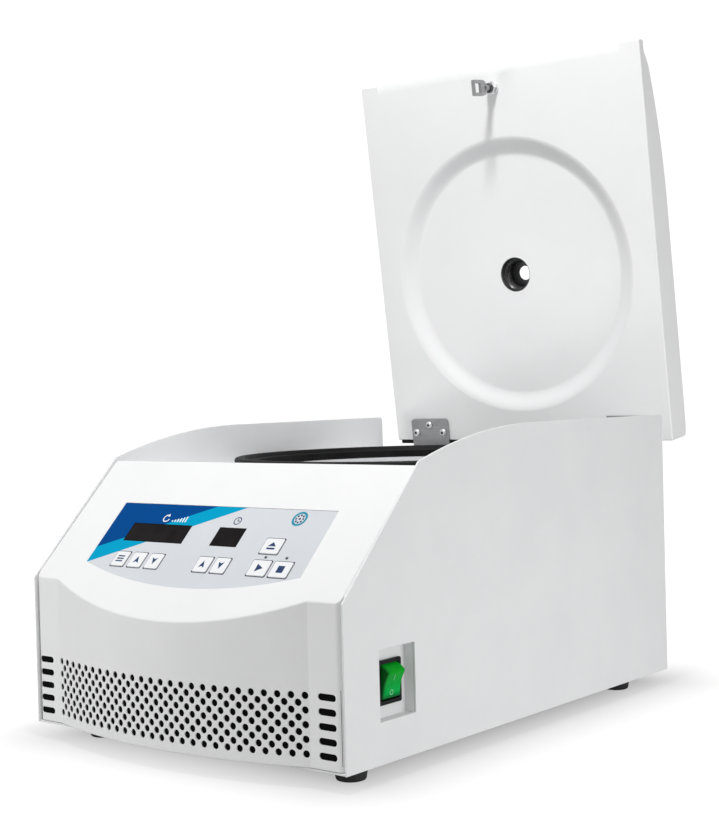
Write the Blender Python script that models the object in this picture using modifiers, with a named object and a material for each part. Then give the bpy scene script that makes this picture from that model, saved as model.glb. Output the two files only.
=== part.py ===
"""A bench-top clinical centrifuge with its lid open, as separate solids.

Lengths are in metres. X runs across the machine, Y from its front to its back, Z up.
The pieces are placed in the cabinet's own frame: y = 0 at the front edge of the side panels,
z = 0 at their lower edge. One empty then sets the whole machine with the middle of its base on
the origin. The lid is modelled shut, under an empty on the hinge line that swings it open.
"""

import math

import bmesh
import bpy
from mathutils import Matrix, Vector

# Cabinet
BODY_WIDTH = 0.310
BODY_DEPTH = 0.440
SHEET = 0.0015
MOULDING = 0.003
CLEARANCE = 0.0003
FRONT_HEIGHT = 0.1126
CONSOLE_DEPTH = 0.0867
CONSOLE_TOP = 0.198
DECK_TOP = 0.1885
DECK_THICKNESS = 0.0025
WING_TOP = 0.2223
WING_FRONT = (0.0867, 0.2005)
WING_ARC_END = 0.230
BASE_THICKNESS = 0.0015
PANEL_BOTTOM = 0.0018
FRONT_CORNER = 0.0042

# Front bulge and its openings
BULGE = 0.020
BULGE_HALF_WIDTH = 0.1255
BULGE_FILLET = 0.006
BULGE_STEPS = 24
BULGE_X = -0.0011
HOLE_RADIUS = 0.0024
HOLE_PITCH_X = 0.0098
HOLE_PITCH_Z = 0.00975
HOLE_COLUMNS = 26
HOLE_ROWS = 5
HOLE_LOWEST = 0.0110
SLOT_PLACES = ((-0.1422, 0.0103), (0.1396, 0.0111))
SLOT_LENGTH = 0.0154
SLOT_HEIGHT = 0.0048
SLOT_PITCH = 0.0098
SLOT_COUNT = 5

# Control panel, in the sloping plane: across, up the slope from the bend, and the width
OVERLAY_HALF_WIDTH = 0.108
OVERLAY_TOP = 0.0775
OVERLAY_SIDE_BOTTOM = 0.0185
OVERLAY_MIDDLE_BOTTOM = 0.0015
OVERLAY_THICKNESS = 0.0009
OVERLAY_RECESS = 0.0011
KEY_HEIGHT = 0.0136
KEY_PROUD = 0.0006
KEY_DEPTH = 0.0042
KEYS = {
    "key_select": (-0.0734, 0.0232, 0.0136),
    "key_speed_up": (-0.0553, 0.0232, 0.0136),
    "key_speed_down": (-0.0372, 0.0231, 0.0136),
    "key_time_up": (0.0127, 0.0234, 0.0136),
    "key_time_down": (0.0300, 0.0235, 0.0136),
    "key_open": (0.0670, 0.0435, 0.0170),
    "key_start": (0.0668, 0.0238, 0.0170),
    "key_stop": (0.0870, 0.0238, 0.0166),
}
WINDOWS = {
    "speed_window": (-0.0530, 0.0495, 0.0620, 0.0172),
    "time_window": (0.0200, 0.0495, 0.0262, 0.0172),
}

# Chamber
CHAMBER_Y = 0.281
CHAMBER_RADIUS = 0.130
BOWL_WALL = 0.0015
BOWL_FLOOR = 0.074
BOWL_CORNER = 0.018
BOWL_HOLE = 0.030
BOWL_FLANGE = 0.142
DECK_OPENING = 0.136
GASKET_INNER = 0.133
GASKET_OUTER = 0.149
GASKET_TOP = 0.1957
ROUND_STEPS = 48

# Lid, described shut
LID_FRONT = 0.0882
LID_LENGTH = 0.349
LID_HALF_WIDTH = 0.1524
LID_UNDERSIDE = 0.1962
LID_THICKNESS = 0.028
LID_LIP = 0.0079
LID_LIP_LENGTH = 0.0095
LID_STEP_LENGTH = 0.021
LID_STEP_HEIGHT = 0.014
LID_CROWN = 0.205
LID_WALL = 0.0025
LID_OPEN_ANGLE = math.radians(82.5)
LINER = 0.003
DISH_OUTER = 0.129
DISH_INNER = 0.110
DISH_DEPTH = 0.008
VIEWPORT_RADIUS = 0.0130
VIEWPORT_FLANGE = 0.0155
VIEWPORT_BORE = 0.0092
HINGE_Y = 0.4515
HINGE_Z = 0.1817
HINGE_PIN = 0.0025
HINGE_KNUCKLE = 0.0050
KNUCKLE_LENGTH = 0.0240
HINGE_X = 0.110
BRACKET_WIDTH = 0.0435
BRACKET_REACH = 0.0215
BRACKET_THICKNESS = 0.0025
SCREW_PLACES = ((-0.0160, 0.0080), (0.0, 0.0155), (0.0160, 0.0080))
STRIKER_Y = 0.1086
STRIKER_REACH = 0.032

# Power switch in the right side panel
POCKET_Y = (0.0368, 0.0765)
POCKET_Z = (0.0284, 0.0773)
POCKET_FLOOR_X = 0.1456
SWITCH_Y = 0.0573
SWITCH_Z = 0.0524
SWITCH_WIDTH = 0.0256
SWITCH_HEIGHT = 0.0307
ROCKER_WIDTH = 0.0196
ROCKER_RADIUS = 0.0122
ROCKER_CORNER = 49.5
ROCKER_TILT = math.radians(16.0)
ROCKER_X = 0.1435
ROCKER_PIN = 0.0016

# Feet, drive and rotor
FEET = {
    "foot_front_left": (-0.115, 0.032),
    "foot_front_right": (0.1305, 0.034),
    "foot_rear_left": (-0.129, 0.395),
    "foot_rear_right": (0.129, 0.395),
}
FOOT_HEIGHT = 0.012
FOOT_TOP = 0.0122
FOOT_BOTTOM = 0.0104
ROTOR_SOCKETS = 8
SOCKET_RADIUS = 0.00875
SOCKET_DEPTH = 0.080
SOCKET_MOUTH = 0.043
ROTOR_TOP = 0.168
ROTOR_BOTTOM = 0.084
SHAFT_RADIUS = 0.005

WHITE = (0.86, 0.87, 0.88)
SHELL_WHITE = (0.90, 0.90, 0.91)
BLACK = (0.02, 0.02, 0.022)
RUBBER = (0.03, 0.03, 0.032)
STEEL = (0.55, 0.56, 0.58)
DARK_STEEL = (0.30, 0.30, 0.31)
ALUMINIUM = (0.70, 0.71, 0.73)


# Scene, materials and small helpers

def clear_scene():
    for obj in list(bpy.data.objects):
        bpy.data.objects.remove(obj, do_unlink=True)


clear_scene()
PARTS = bpy.data.collections.new("clinical_centrifuge")
CUTTERS = bpy.data.collections.new("cutters")
bpy.context.scene.collection.children.link(PARTS)
bpy.context.scene.collection.children.link(CUTTERS)


def material(name, color, roughness, metallic=0.0, alpha=1.0):
    made = bpy.data.materials.new(name)
    made.use_nodes = True
    shader = made.node_tree.nodes["Principled BSDF"]
    shader.inputs["Base Color"].default_value = (*color, 1.0)
    shader.inputs["Roughness"].default_value = roughness
    shader.inputs["Metallic"].default_value = metallic
    shader.inputs["Alpha"].default_value = alpha
    made.diffuse_color = (*color, alpha)
    return made


def empty(name, location, rotation=(0.0, 0.0, 0.0), parent=None):
    made = bpy.data.objects.new(name, None)
    made.location = location
    made.rotation_euler = rotation
    made.parent = parent
    PARTS.objects.link(made)
    return made


def finish(obj, parent, paint=None):
    """Puts a piece with its own material among the parts, or a cutter among the cutters."""
    obj.parent = parent
    if paint is None:
        CUTTERS.objects.link(obj)
        obj.hide_render = True
        obj.display_type = "WIRE"
        return obj
    PARTS.objects.link(obj)
    obj.data.materials.clear()
    obj.data.materials.append(material(obj.name, *paint))
    return obj


def smooth(obj, angle=35.0):
    obj.data.shade_smooth()
    obj.data.set_sharp_from_angle(angle=math.radians(angle))
    return obj


def plain_mesh(obj, name):
    """The evaluated mesh of a helper object, welded and facing outwards; the helper is removed."""
    CUTTERS.objects.link(obj)
    bpy.context.view_layer.update()
    graph = bpy.context.evaluated_depsgraph_get()
    mesh = bpy.data.meshes.new_from_object(obj.evaluated_get(graph))
    bpy.data.objects.remove(obj, do_unlink=True)
    bm = bmesh.new()
    bm.from_mesh(mesh)
    bmesh.ops.remove_doubles(bm, verts=bm.verts, dist=1e-6)
    bmesh.ops.recalc_face_normals(bm, faces=bm.faces)
    bm.to_mesh(mesh)
    bm.free()
    mesh.name = name
    return bpy.data.objects.new(name, mesh)


def box(name, low, high, parent, paint=None, bevel=0.0):
    low, high = Vector(low), Vector(high)
    mesh = bpy.data.meshes.new(name)
    bm = bmesh.new()
    bmesh.ops.create_cube(bm, size=1.0)
    bmesh.ops.scale(bm, vec=high - low, verts=bm.verts)
    if bevel:
        bmesh.ops.bevel(bm, geom=bm.edges, offset=bevel, segments=1, affect="EDGES")
    bm.to_mesh(mesh)
    bm.free()
    obj = finish(bpy.data.objects.new(name, mesh), parent, paint)
    obj.location = (low + high) / 2
    return obj


TURNS = {
    "Z": Matrix.Identity(3),
    "X": Matrix(((0, 0, 1), (1, 0, 0), (0, 1, 0))),
    "Y": Matrix(((1, 0, 0), (0, 0, 1), (0, -1, 0))),
}


def cylinder(name, radius, centre, length, parent, paint=None, steps=24, axis="Z", top=None):
    """A cylinder, or a cone with another radius at its far end, centred on a point."""
    mesh = bpy.data.meshes.new(name)
    bm = bmesh.new()
    far = radius if top is None else top
    turn = TURNS[axis].to_4x4()
    bmesh.ops.create_cone(
        bm, cap_ends=True, segments=steps, radius1=radius, radius2=far, depth=length, matrix=turn
    )
    bm.to_mesh(mesh)
    bm.free()
    obj = finish(bpy.data.objects.new(name, mesh), parent, paint)
    obj.location = centre
    return smooth(obj)


def plate(name, outlines, low, high, axis, parent, paint=None):
    """Flat outlines, filled and extruded from low to high along an axis.

    The outline's two numbers are (y, z) along X, (x, z) along Y and (x, y) along Z. An outline
    inside another is a hole in it.
    """
    curve = bpy.data.curves.new(name, "CURVE")
    curve.dimensions = "2D"
    curve.fill_mode = "BOTH"
    curve.extrude = (high - low) / 2
    for outline in outlines:
        spline = curve.splines.new("POLY")
        spline.points.add(len(outline) - 1)
        for point, (across, up) in zip(spline.points, outline):
            point.co = (across, up if axis != "Y" else -up, 0.0, 1.0)
        spline.use_cyclic_u = True
    obj = plain_mesh(bpy.data.objects.new(name, curve), name)
    middle = (low + high) / 2
    turn = Matrix(((1, 0, 0), (0, 0, 1), (0, -1, 0))) if axis == "Y" else TURNS[axis]
    shift = {"X": (middle, 0, 0), "Y": (0, middle, 0), "Z": (0, 0, middle)}[axis]
    obj.data.transform(Matrix.Translation(shift) @ turn.to_4x4())
    return finish(obj, parent, paint)


def turned(name, profile, parent, paint=None, steps=ROUND_STEPS, centre=(0.0, 0.0, 0.0)):
    """A closed profile of (radius, height) points turned once round the Z axis."""
    mesh = bpy.data.meshes.new(name)
    count = len(profile)
    edges = [(i, (i + 1) % count) for i in range(count)]
    edges = [(i, j) for i, j in edges if profile[i][0] or profile[j][0]]
    mesh.from_pydata([(radius, 0.0, height) for radius, height in profile], edges, [])
    helper = bpy.data.objects.new(name, mesh)
    screw = helper.modifiers.new("turn", "SCREW")
    screw.axis = "Z"
    screw.steps = steps
    screw.render_steps = steps
    screw.use_merge_vertices = True
    screw.merge_threshold = 1e-6
    obj = finish(plain_mesh(helper, name), parent, paint)
    obj.location = centre
    return smooth(obj)


def boolean(obj, other, operation="DIFFERENCE"):
    modifier = obj.modifiers.new(operation.lower(), "BOOLEAN")
    modifier.operation = operation
    modifier.object = other
    modifier.solver = "EXACT"


def arc(centre, radius, start, end, steps):
    """Points on a circle, with angles in degrees."""
    points = []
    for i in range(steps + 1):
        angle = math.radians(start + (end - start) * i / steps)
        points.append((centre[0] + radius * math.cos(angle), centre[1] + radius * math.sin(angle)))
    return points


def rectangle(centre, width, height, corner=0.0, corner_steps=2):
    x, y = centre
    w, h = width / 2 - corner, height / 2 - corner
    if not corner:
        return [(x - w, y - h), (x + w, y - h), (x + w, y + h), (x - w, y + h)]
    points = []
    for sign_x, sign_y, start in ((1, -1, -90), (1, 1, 0), (-1, 1, 90), (-1, -1, 180)):
        middle = (x + sign_x * w, y + sign_y * h)
        points += arc(middle, corner, start, start + 90, corner_steps)
    return points


# Frames

machine = empty("machine", (0.0, 0.0, 0.0))
slope = math.atan2(CONSOLE_TOP - FRONT_HEIGHT, CONSOLE_DEPTH)
console = empty("console_plane", (0.0, 0.0, FRONT_HEIGHT), (slope, 0.0, 0.0), machine)
lid = empty("lid_hinge_line", (0.0, HINGE_Y, HINGE_Z), (-LID_OPEN_ANGLE, 0.0, 0.0), machine)

LID_REAR = LID_FRONT + LID_LENGTH
INNER_HALF_WIDTH = BODY_WIDTH / 2 - SHEET - CLEARANCE
PANEL_HALF_WIDTH = INNER_HALF_WIDTH - 0.001


def in_lid(y, z):
    """A point of the shut lid, measured from the hinge line."""
    return y - HINGE_Y, z - HINGE_Z


# Cabinet

def side_outline():
    rise = WING_TOP - WING_FRONT[1]
    run = WING_ARC_END - WING_FRONT[0]
    radius = (run**2 + rise**2) / (2 * rise)
    start = 90 + math.degrees(math.asin(run / radius))
    wing = arc((WING_ARC_END, WING_TOP - radius), radius, start, 90, 8)
    rear_corner = arc((BODY_DEPTH - 0.004, WING_TOP - 0.0045), 0.004, 90, 0, 2)
    return [(0.0, 0.0), (0.0, FRONT_HEIGHT)] + wing + rear_corner + [(BODY_DEPTH, 0.0)]


def side_panels():
    outer = BODY_WIDTH / 2
    paint = (WHITE, 0.45)
    plate("left_side_panel", [side_outline()], -outer, SHEET - outer, "X", machine, paint)
    pocket_centre = (sum(POCKET_Y) / 2, sum(POCKET_Z) / 2)
    pocket = rectangle(pocket_centre, POCKET_Y[1] - POCKET_Y[0], POCKET_Z[1] - POCKET_Z[0])
    plate("right_side_panel", [side_outline(), pocket], outer - SHEET, outer, "X", machine, paint)


def base_and_feet():
    front, back = 0.0006, BODY_DEPTH - SHEET - 2 * CLEARANCE
    box(
        "base_plate",
        (-INNER_HALF_WIDTH, front, 0.0),
        (INNER_HALF_WIDTH, back, BASE_THICKNESS),
        machine,
        (WHITE, 0.45),
    )
    length = FOOT_HEIGHT - CLEARANCE
    for name, (x, y) in FEET.items():
        centre = (x, y, -(FOOT_HEIGHT + CLEARANCE) / 2)
        cylinder(name, FOOT_BOTTOM, centre, length, machine, (RUBBER, 0.8), 24, top=FOOT_TOP)


def slot_outline(centre, length, height, steps=3):
    reach = (length - height) / 2
    right = arc((centre[0] + reach, centre[1]), height / 2, -90, 90, steps)
    left = arc((centre[0] - reach, centre[1]), height / 2, 90, 270, steps)
    return right + left


def rear_panel():
    outline = rectangle(
        (0.0, (BASE_THICKNESS + CLEARANCE + DECK_TOP) / 2),
        2 * INNER_HALF_WIDTH,
        DECK_TOP - BASE_THICKNESS - CLEARANCE,
    )
    holes = [rectangle((0.095, 0.045), 0.0284, 0.0206)]
    for column in (-0.062, -0.002):
        for row in range(6):
            holes.append(slot_outline((column, 0.034 + 0.009 * row), 0.050, 0.004, 2))
    back = BODY_DEPTH
    plate("rear_panel", [outline] + holes, back - SHEET, back, "Y", machine, (WHITE, 0.45))


def front_plan(inset):
    """The front moulding's outline seen from above, from its rear right corner to its rear left."""
    bulge_radius = (BULGE_HALF_WIDTH**2 + BULGE**2) / (2 * BULGE)
    bulge_centre = bulge_radius - BULGE
    reach = bulge_radius + BULGE_FILLET
    fillet_x = math.sqrt(reach**2 - (bulge_centre + BULGE_FILLET) ** 2)
    sweep = math.degrees(math.atan2(fillet_x, bulge_centre + BULGE_FILLET))
    half = arc((fillet_x, -BULGE_FILLET), BULGE_FILLET + inset, 90, 90 + sweep, 3)
    half += arc((0.0, bulge_centre), bulge_radius - inset, sweep - 90, -90, BULGE_STEPS // 2)[1:]
    face = [(BULGE_X + x, y) for x, y in half]
    face += [(BULGE_X - x, y) for x, y in reversed(half[:-1])]
    if inset:
        wide = PANEL_HALF_WIDTH + 0.003
        side = [(wide, CONSOLE_DEPTH - inset), (wide, 0.020), (PANEL_HALF_WIDTH - inset, 0.020)]
        side.append((PANEL_HALF_WIDTH - inset, inset))
    else:
        corner = (PANEL_HALF_WIDTH - FRONT_CORNER, FRONT_CORNER + 0.0002)
        side = [(PANEL_HALF_WIDTH, CONSOLE_DEPTH)] + arc(corner, FRONT_CORNER, 0, -90, 3)
    return side + face + [(-x, y) for x, y in reversed(side)]


def front_form(name, inset, low, paint=None):
    """The front moulding's outer form, or with an inset the space inside it."""
    obj = plate(name, [front_plan(inset)], low, CONSOLE_TOP + 0.02, "Z", machine, paint)
    normal = Vector((0.0, -math.sin(slope), math.cos(slope)))
    bm = bmesh.new()
    bm.from_mesh(obj.data)
    cut = bmesh.ops.bisect_plane(
        bm,
        geom=bm.verts[:] + bm.edges[:] + bm.faces[:],
        plane_co=Vector((0.0, 0.0, FRONT_HEIGHT)) - normal * inset,
        plane_no=normal,
        clear_outer=True,
    )
    edges = [item for item in cut["geom_cut"] if isinstance(item, bmesh.types.BMEdge)]
    bmesh.ops.holes_fill(bm, edges=edges)
    bmesh.ops.recalc_face_normals(bm, faces=bm.faces)
    bm.to_mesh(obj.data)
    bm.free()
    return obj


def grille_outlines():
    outlines = []
    for row in range(2 * HOLE_ROWS - 1):
        columns = HOLE_COLUMNS - row % 2
        z = HOLE_LOWEST + row * HOLE_PITCH_Z / 2
        for column in range(columns):
            x = BULGE_X + (column - (columns - 1) / 2) * HOLE_PITCH_X
            outlines.append(arc((x, z), HOLE_RADIUS, 30, 330, 5))
    for x, lowest in SLOT_PLACES:
        for row in range(SLOT_COUNT):
            outlines.append(slot_outline((x, lowest + row * SLOT_PITCH), SLOT_LENGTH, SLOT_HEIGHT))
    return outlines


def overlay_outline(margin=0.0):
    drop = OVERLAY_SIDE_BOTTOM - OVERLAY_MIDDLE_BOTTOM
    radius = (OVERLAY_HALF_WIDTH**2 + drop**2) / (2 * drop)
    sweep = math.degrees(math.asin(OVERLAY_HALF_WIDTH / radius))
    centre = (0.0, OVERLAY_MIDDLE_BOTTOM + radius)
    bottom = arc(centre, radius + margin, -90 - sweep, -90 + sweep, 16)
    half, low, top = OVERLAY_HALF_WIDTH + margin, OVERLAY_SIDE_BOTTOM - margin, OVERLAY_TOP + margin
    return [(-half, low)] + bottom[1:-1] + [(half, low), (half, top), (-half, top)]


def well_outlines():
    wells = []
    for x, y, width in KEYS.values():
        wells.append(rectangle((x, y), width + 2 * CLEARANCE, KEY_HEIGHT + 2 * CLEARANCE, 0.0008, 1))
    for x, y, width, height in WINDOWS.values():
        wells.append(rectangle((x, y), width + 0.0006, height + 0.0006))
    return wells


def front_panel():
    panel = front_form("front_panel", 0.0, PANEL_BOTTOM, (SHELL_WHITE, 0.35))
    boolean(panel, front_form("front_hollow", MOULDING, -0.010))
    low, high = (-0.2, CONSOLE_DEPTH - MOULDING - 0.01, -0.02), (0.2, 0.2, DECK_TOP - 0.004)
    boolean(panel, box("front_rear_opening", low, high, machine))
    boolean(panel, plate("grille_cutter", grille_outlines(), -0.026, 0.006, "Y", machine))
    recess = plate("overlay_recess", [overlay_outline(CLEARANCE)], -OVERLAY_RECESS, 0.01, "Z", console)
    boolean(panel, recess)
    boolean(panel, plate("well_cutter", well_outlines(), -0.012, 0.008, "Z", console))


def control_panel():
    top = OVERLAY_THICKNESS + CLEARANCE - OVERLAY_RECESS
    plate(
        "keypad_overlay",
        [overlay_outline()] + well_outlines(),
        CLEARANCE - OVERLAY_RECESS,
        top,
        "Z",
        console,
        ((0.68, 0.70, 0.74), 0.35),
    )
    for name, (x, y, width, height) in WINDOWS.items():
        low = (x - width / 2, y - height / 2, -0.0035)
        high = (x + width / 2, y + height / 2, top - 0.0002)
        box(name, low, high, console, ((0.03, 0.02, 0.015), 0.1))
    for name, (x, y, width) in KEYS.items():
        outline = rectangle((0.0, 0.0), width, KEY_HEIGHT, 0.0016, 2)
        low, high = KEY_PROUD - KEY_DEPTH, KEY_PROUD
        key = plate(name, [outline], low, high, "Z", console, ((0.92, 0.93, 0.94), 0.4))
        key.location = (x, y, 0.0)


def control_board():
    """The board behind the control panel, with its display modules and connectors."""
    face = -0.0100
    low, high = (-0.098, 0.010, face - 0.0016), (0.098, 0.068, face)
    board = box("control_board", low, high, console, ((0.05, 0.25, 0.12), 0.5))
    for name, (x, y, _) in KEYS.items():
        low, high = (x - 0.003, y - 0.003, face - 0.0005), (x + 0.003, y + 0.003, -0.0044)
        boolean(board, box(f"{name}_switch", low, high, console), "UNION")
    for i, (x, y) in enumerate(((-0.092, 0.013), (0.092, 0.013), (-0.092, 0.062), (0.092, 0.062))):
        place = (x, y, (face - MOULDING) / 2 - 0.0005)
        length = -MOULDING - face - 0.0004
        boolean(board, cylinder(f"panel_post_{i}", 0.0028, place, length, console, steps=8), "UNION")
    blocks = [
        ("speed_module", (-0.083, 0.041, face - 0.0005), (-0.023, 0.058, -0.0045)),
        ("time_module", (0.008, 0.041, face - 0.0005), (0.032, 0.058, -0.0045)),
        ("ribbon_socket", (-0.020, 0.013, -0.0190), (0.020, 0.020, face - 0.0011)),
        ("controller_chip", (0.034, 0.030, -0.0145), (0.050, 0.046, face - 0.0011)),
    ]
    for name, low, high in blocks:
        boolean(board, box(name, low, high, console), "UNION")


# Power switch and inlet

def switch_pocket():
    wall = SHEET
    y0, y1 = POCKET_Y
    z0, z1 = POCKET_Z
    face = BODY_WIDTH / 2 - SHEET - CLEARANCE
    tray = box(
        "switch_pocket",
        (POCKET_FLOOR_X - wall, y0 - wall, z0 - wall),
        (face, y1 + wall, z1 + wall),
        machine,
        (WHITE, 0.45),
    )
    boolean(tray, box("pocket_hollow", (POCKET_FLOOR_X, y0, z0), (face + 0.01, y1, z1), machine))
    width, height = SWITCH_WIDTH - 0.0026, SWITCH_HEIGHT - 0.0027
    hole = rectangle((SWITCH_Y, SWITCH_Z), width, height)
    boolean(tray, plate("pocket_switch_hole", [hole], 0.13, 0.15, "X", machine))


def power_switch():
    flange = rectangle((SWITCH_Y, SWITCH_Z), SWITCH_WIDTH, SWITCH_HEIGHT, 0.0015, 1)
    low = POCKET_FLOOR_X + CLEARANCE
    housing = plate("switch_housing", [flange], low, low + 0.002, "X", machine, (BLACK, 0.4))
    width, height = SWITCH_WIDTH - 0.0034, SWITCH_HEIGHT - 0.0035
    body = rectangle((SWITCH_Y, SWITCH_Z), width, height)
    boolean(housing, plate("switch_body", [body], 0.126, low + 0.001, "X", machine), "UNION")
    well = rectangle((SWITCH_Y, SWITCH_Z), ROCKER_WIDTH + 0.0008, 2 * ROCKER_RADIUS + 0.0008)
    boolean(housing, plate("rocker_well", [well], 0.1345, 0.16, "X", machine))
    place = (ROCKER_X, SWITCH_Y, SWITCH_Z)
    bearing = cylinder("rocker_bearing", ROCKER_PIN + 0.0002, place, 0.04, machine, steps=16, axis="Y")
    boolean(housing, bearing)

    pivot = empty("rocker_axis", place, (0.0, ROCKER_TILT, 0.0), machine)
    back = arc((0.0, 0.0), ROCKER_RADIUS, ROCKER_CORNER, 105, 4)
    back += arc((0.0, 0.0), ROCKER_RADIUS, -105, -ROCKER_CORNER, 4)
    face = [(0.0070, -0.0052), (0.0066, 0.0), (0.0070, 0.0052)]
    half = ROCKER_WIDTH / 2
    rocker = plate("rocker", [back + face], -half, half, "Y", pivot, ((0.02, 0.45, 0.10), 0.2))
    length = ROCKER_WIDTH + 0.0018
    pin = cylinder("rocker_pin", ROCKER_PIN, (0.0, 0.0, 0.0), length, pivot, steps=16, axis="Y")
    boolean(rocker, pin, "UNION")


def power_inlet():
    """The mains inlet in the rear panel, with its three flat contacts."""
    x, z = 0.095, 0.045
    back = BODY_DEPTH
    flange = rectangle((x, z), 0.050, 0.0245, 0.004, 2)
    inlet = plate(
        "power_inlet", [flange], back + CLEARANCE, back + 0.003, "Y", machine, (BLACK, 0.5)
    )
    shell = rectangle((x, z), 0.0276, 0.0198, 0.003, 1)
    boolean(inlet, plate("inlet_body", [shell], back - 0.022, back + 0.001, "Y", machine), "UNION")
    socket = rectangle((x, z), 0.0240, 0.0160, 0.002, 1)
    boolean(inlet, plate("inlet_socket", [socket], back - 0.0145, back + 0.01, "Y", machine))
    for i, (across, up) in enumerate(((-0.007, -0.002), (0.0, 0.002), (0.007, -0.002))):
        contact = box(
            f"inlet_contact_{i}",
            (x + across - 0.001, back - 0.016, z + up - 0.002),
            (x + across + 0.001, back - 0.001, z + up + 0.002),
            machine,
        )
        boolean(inlet, contact, "UNION")


# Chamber, drive and rotor

def top_deck():
    outline = [
        (-INNER_HALF_WIDTH, CONSOLE_DEPTH + 0.0005),
        (INNER_HALF_WIDTH, CONSOLE_DEPTH + 0.0005),
        (INNER_HALF_WIDTH, BODY_DEPTH - SHEET - CLEARANCE),
        (-INNER_HALF_WIDTH, BODY_DEPTH - SHEET - CLEARANCE),
    ]
    opening = arc((0.0, CHAMBER_Y), DECK_OPENING, 0, 360 - 360 / ROUND_STEPS, ROUND_STEPS - 1)
    slot = rectangle((0.0, STRIKER_Y), 0.012, 0.026)
    low = DECK_TOP - DECK_THICKNESS
    plate("top_deck", [outline, opening, slot], low, DECK_TOP, "Z", machine, (SHELL_WHITE, 0.4))


def chamber():
    floor, wall, radius = BOWL_FLOOR, BOWL_WALL, CHAMBER_RADIUS
    flange = DECK_TOP - DECK_THICKNESS - CLEARANCE
    corner = (radius - BOWL_CORNER, floor + BOWL_CORNER)
    inside = arc(corner, BOWL_CORNER, 0, -90, 4)
    outside = arc(corner, BOWL_CORNER + wall, -90, 0, 4)
    profile = [(radius, flange)] + inside + [(BOWL_HOLE, floor), (BOWL_HOLE, floor - wall)]
    profile += outside + [(radius + wall, flange - wall)]
    profile += [(BOWL_FLANGE, flange - wall), (BOWL_FLANGE, flange)]
    centre = (0.0, CHAMBER_Y, 0.0)
    turned("chamber_bowl", profile, machine, ((0.80, 0.81, 0.82), 0.3, 0.6), centre=centre)

    low, top = DECK_TOP - DECK_THICKNESS, GASKET_TOP
    skirt = DECK_OPENING - CLEARANCE
    seat = DECK_TOP + CLEARANCE
    gasket = [
        (GASKET_INNER, low),
        (GASKET_INNER, top - 0.0044),
        (GASKET_INNER + 0.0012, top - 0.0033),
        (GASKET_INNER + 0.0036, top - 0.0033),
        (GASKET_INNER + 0.0050, top - 0.0045),
        (GASKET_INNER + 0.0064, top - 0.0043),
        (GASKET_INNER + 0.0080, top - 0.0007),
        (GASKET_INNER + 0.0092, top),
        (GASKET_OUTER - 0.0024, top),
        (GASKET_OUTER - 0.0006, top - 0.0007),
        (GASKET_OUTER, top - 0.0025),
        (GASKET_OUTER, seat),
        (skirt, seat),
        (skirt, low),
    ]
    turned("lid_gasket", gasket, machine, (RUBBER, 0.6), centre=centre)


def drive():
    centre_x, centre_y = 0.0, CHAMBER_Y
    centre = (centre_x, centre_y, 0.0)
    motor = [
        (0.0058, 0.062), (0.0058, 0.030), (0.0, 0.030), (0.0, 0.012),
        (0.036, 0.012), (0.042, 0.018), (0.042, 0.056), (0.038, 0.060),
        (0.020, 0.060), (0.020, 0.0655), (0.0140, 0.0665), (0.0058, 0.0665),
    ]
    turned("motor", motor, machine, (DARK_STEEL, 0.4, 0.8), 32, centre)
    half = 0.070
    hole = arc((centre_x, centre_y), 0.0206, 0, 345, 23)
    outline = rectangle((centre_x, centre_y), 2 * half, 2 * half, 0.008, 2)
    plate("motor_mount_plate", [outline, hole], 0.0603, 0.0633, "Z", machine, (STEEL, 0.4, 0.9))
    seat = BASE_THICKNESS + CLEARANCE
    for side, x in (("left", -0.058), ("right", 0.058)):
        for end, y in (("front", -0.058), ("rear", 0.058)):
            mount = [
                (0.0, 0.0600), (0.0, seat), (0.011, seat), (0.011, 0.008), (0.006, 0.010),
                (0.006, 0.044), (0.010, 0.046), (0.010, 0.0600),
            ]
            place = (x, centre_y + y, 0.0)
            turned(f"vibration_mount_{end}_{side}", mount, machine, (RUBBER, 0.7), 16, place)
    boot = [
        (0.0225, 0.0636), (0.0225, 0.0680), (0.0250, 0.0700), (0.0225, 0.0720), (0.0225, 0.0790),
        (0.0270, 0.0790), (0.0290, 0.0745), (0.0295, 0.0720), (0.0330, 0.0718), (0.0330, 0.0700),
        (0.0285, 0.0680), (0.0310, 0.0660), (0.0310, 0.0636),
    ]
    turned("shaft_boot", boot, machine, (RUBBER, 0.6), 24, centre)


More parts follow.
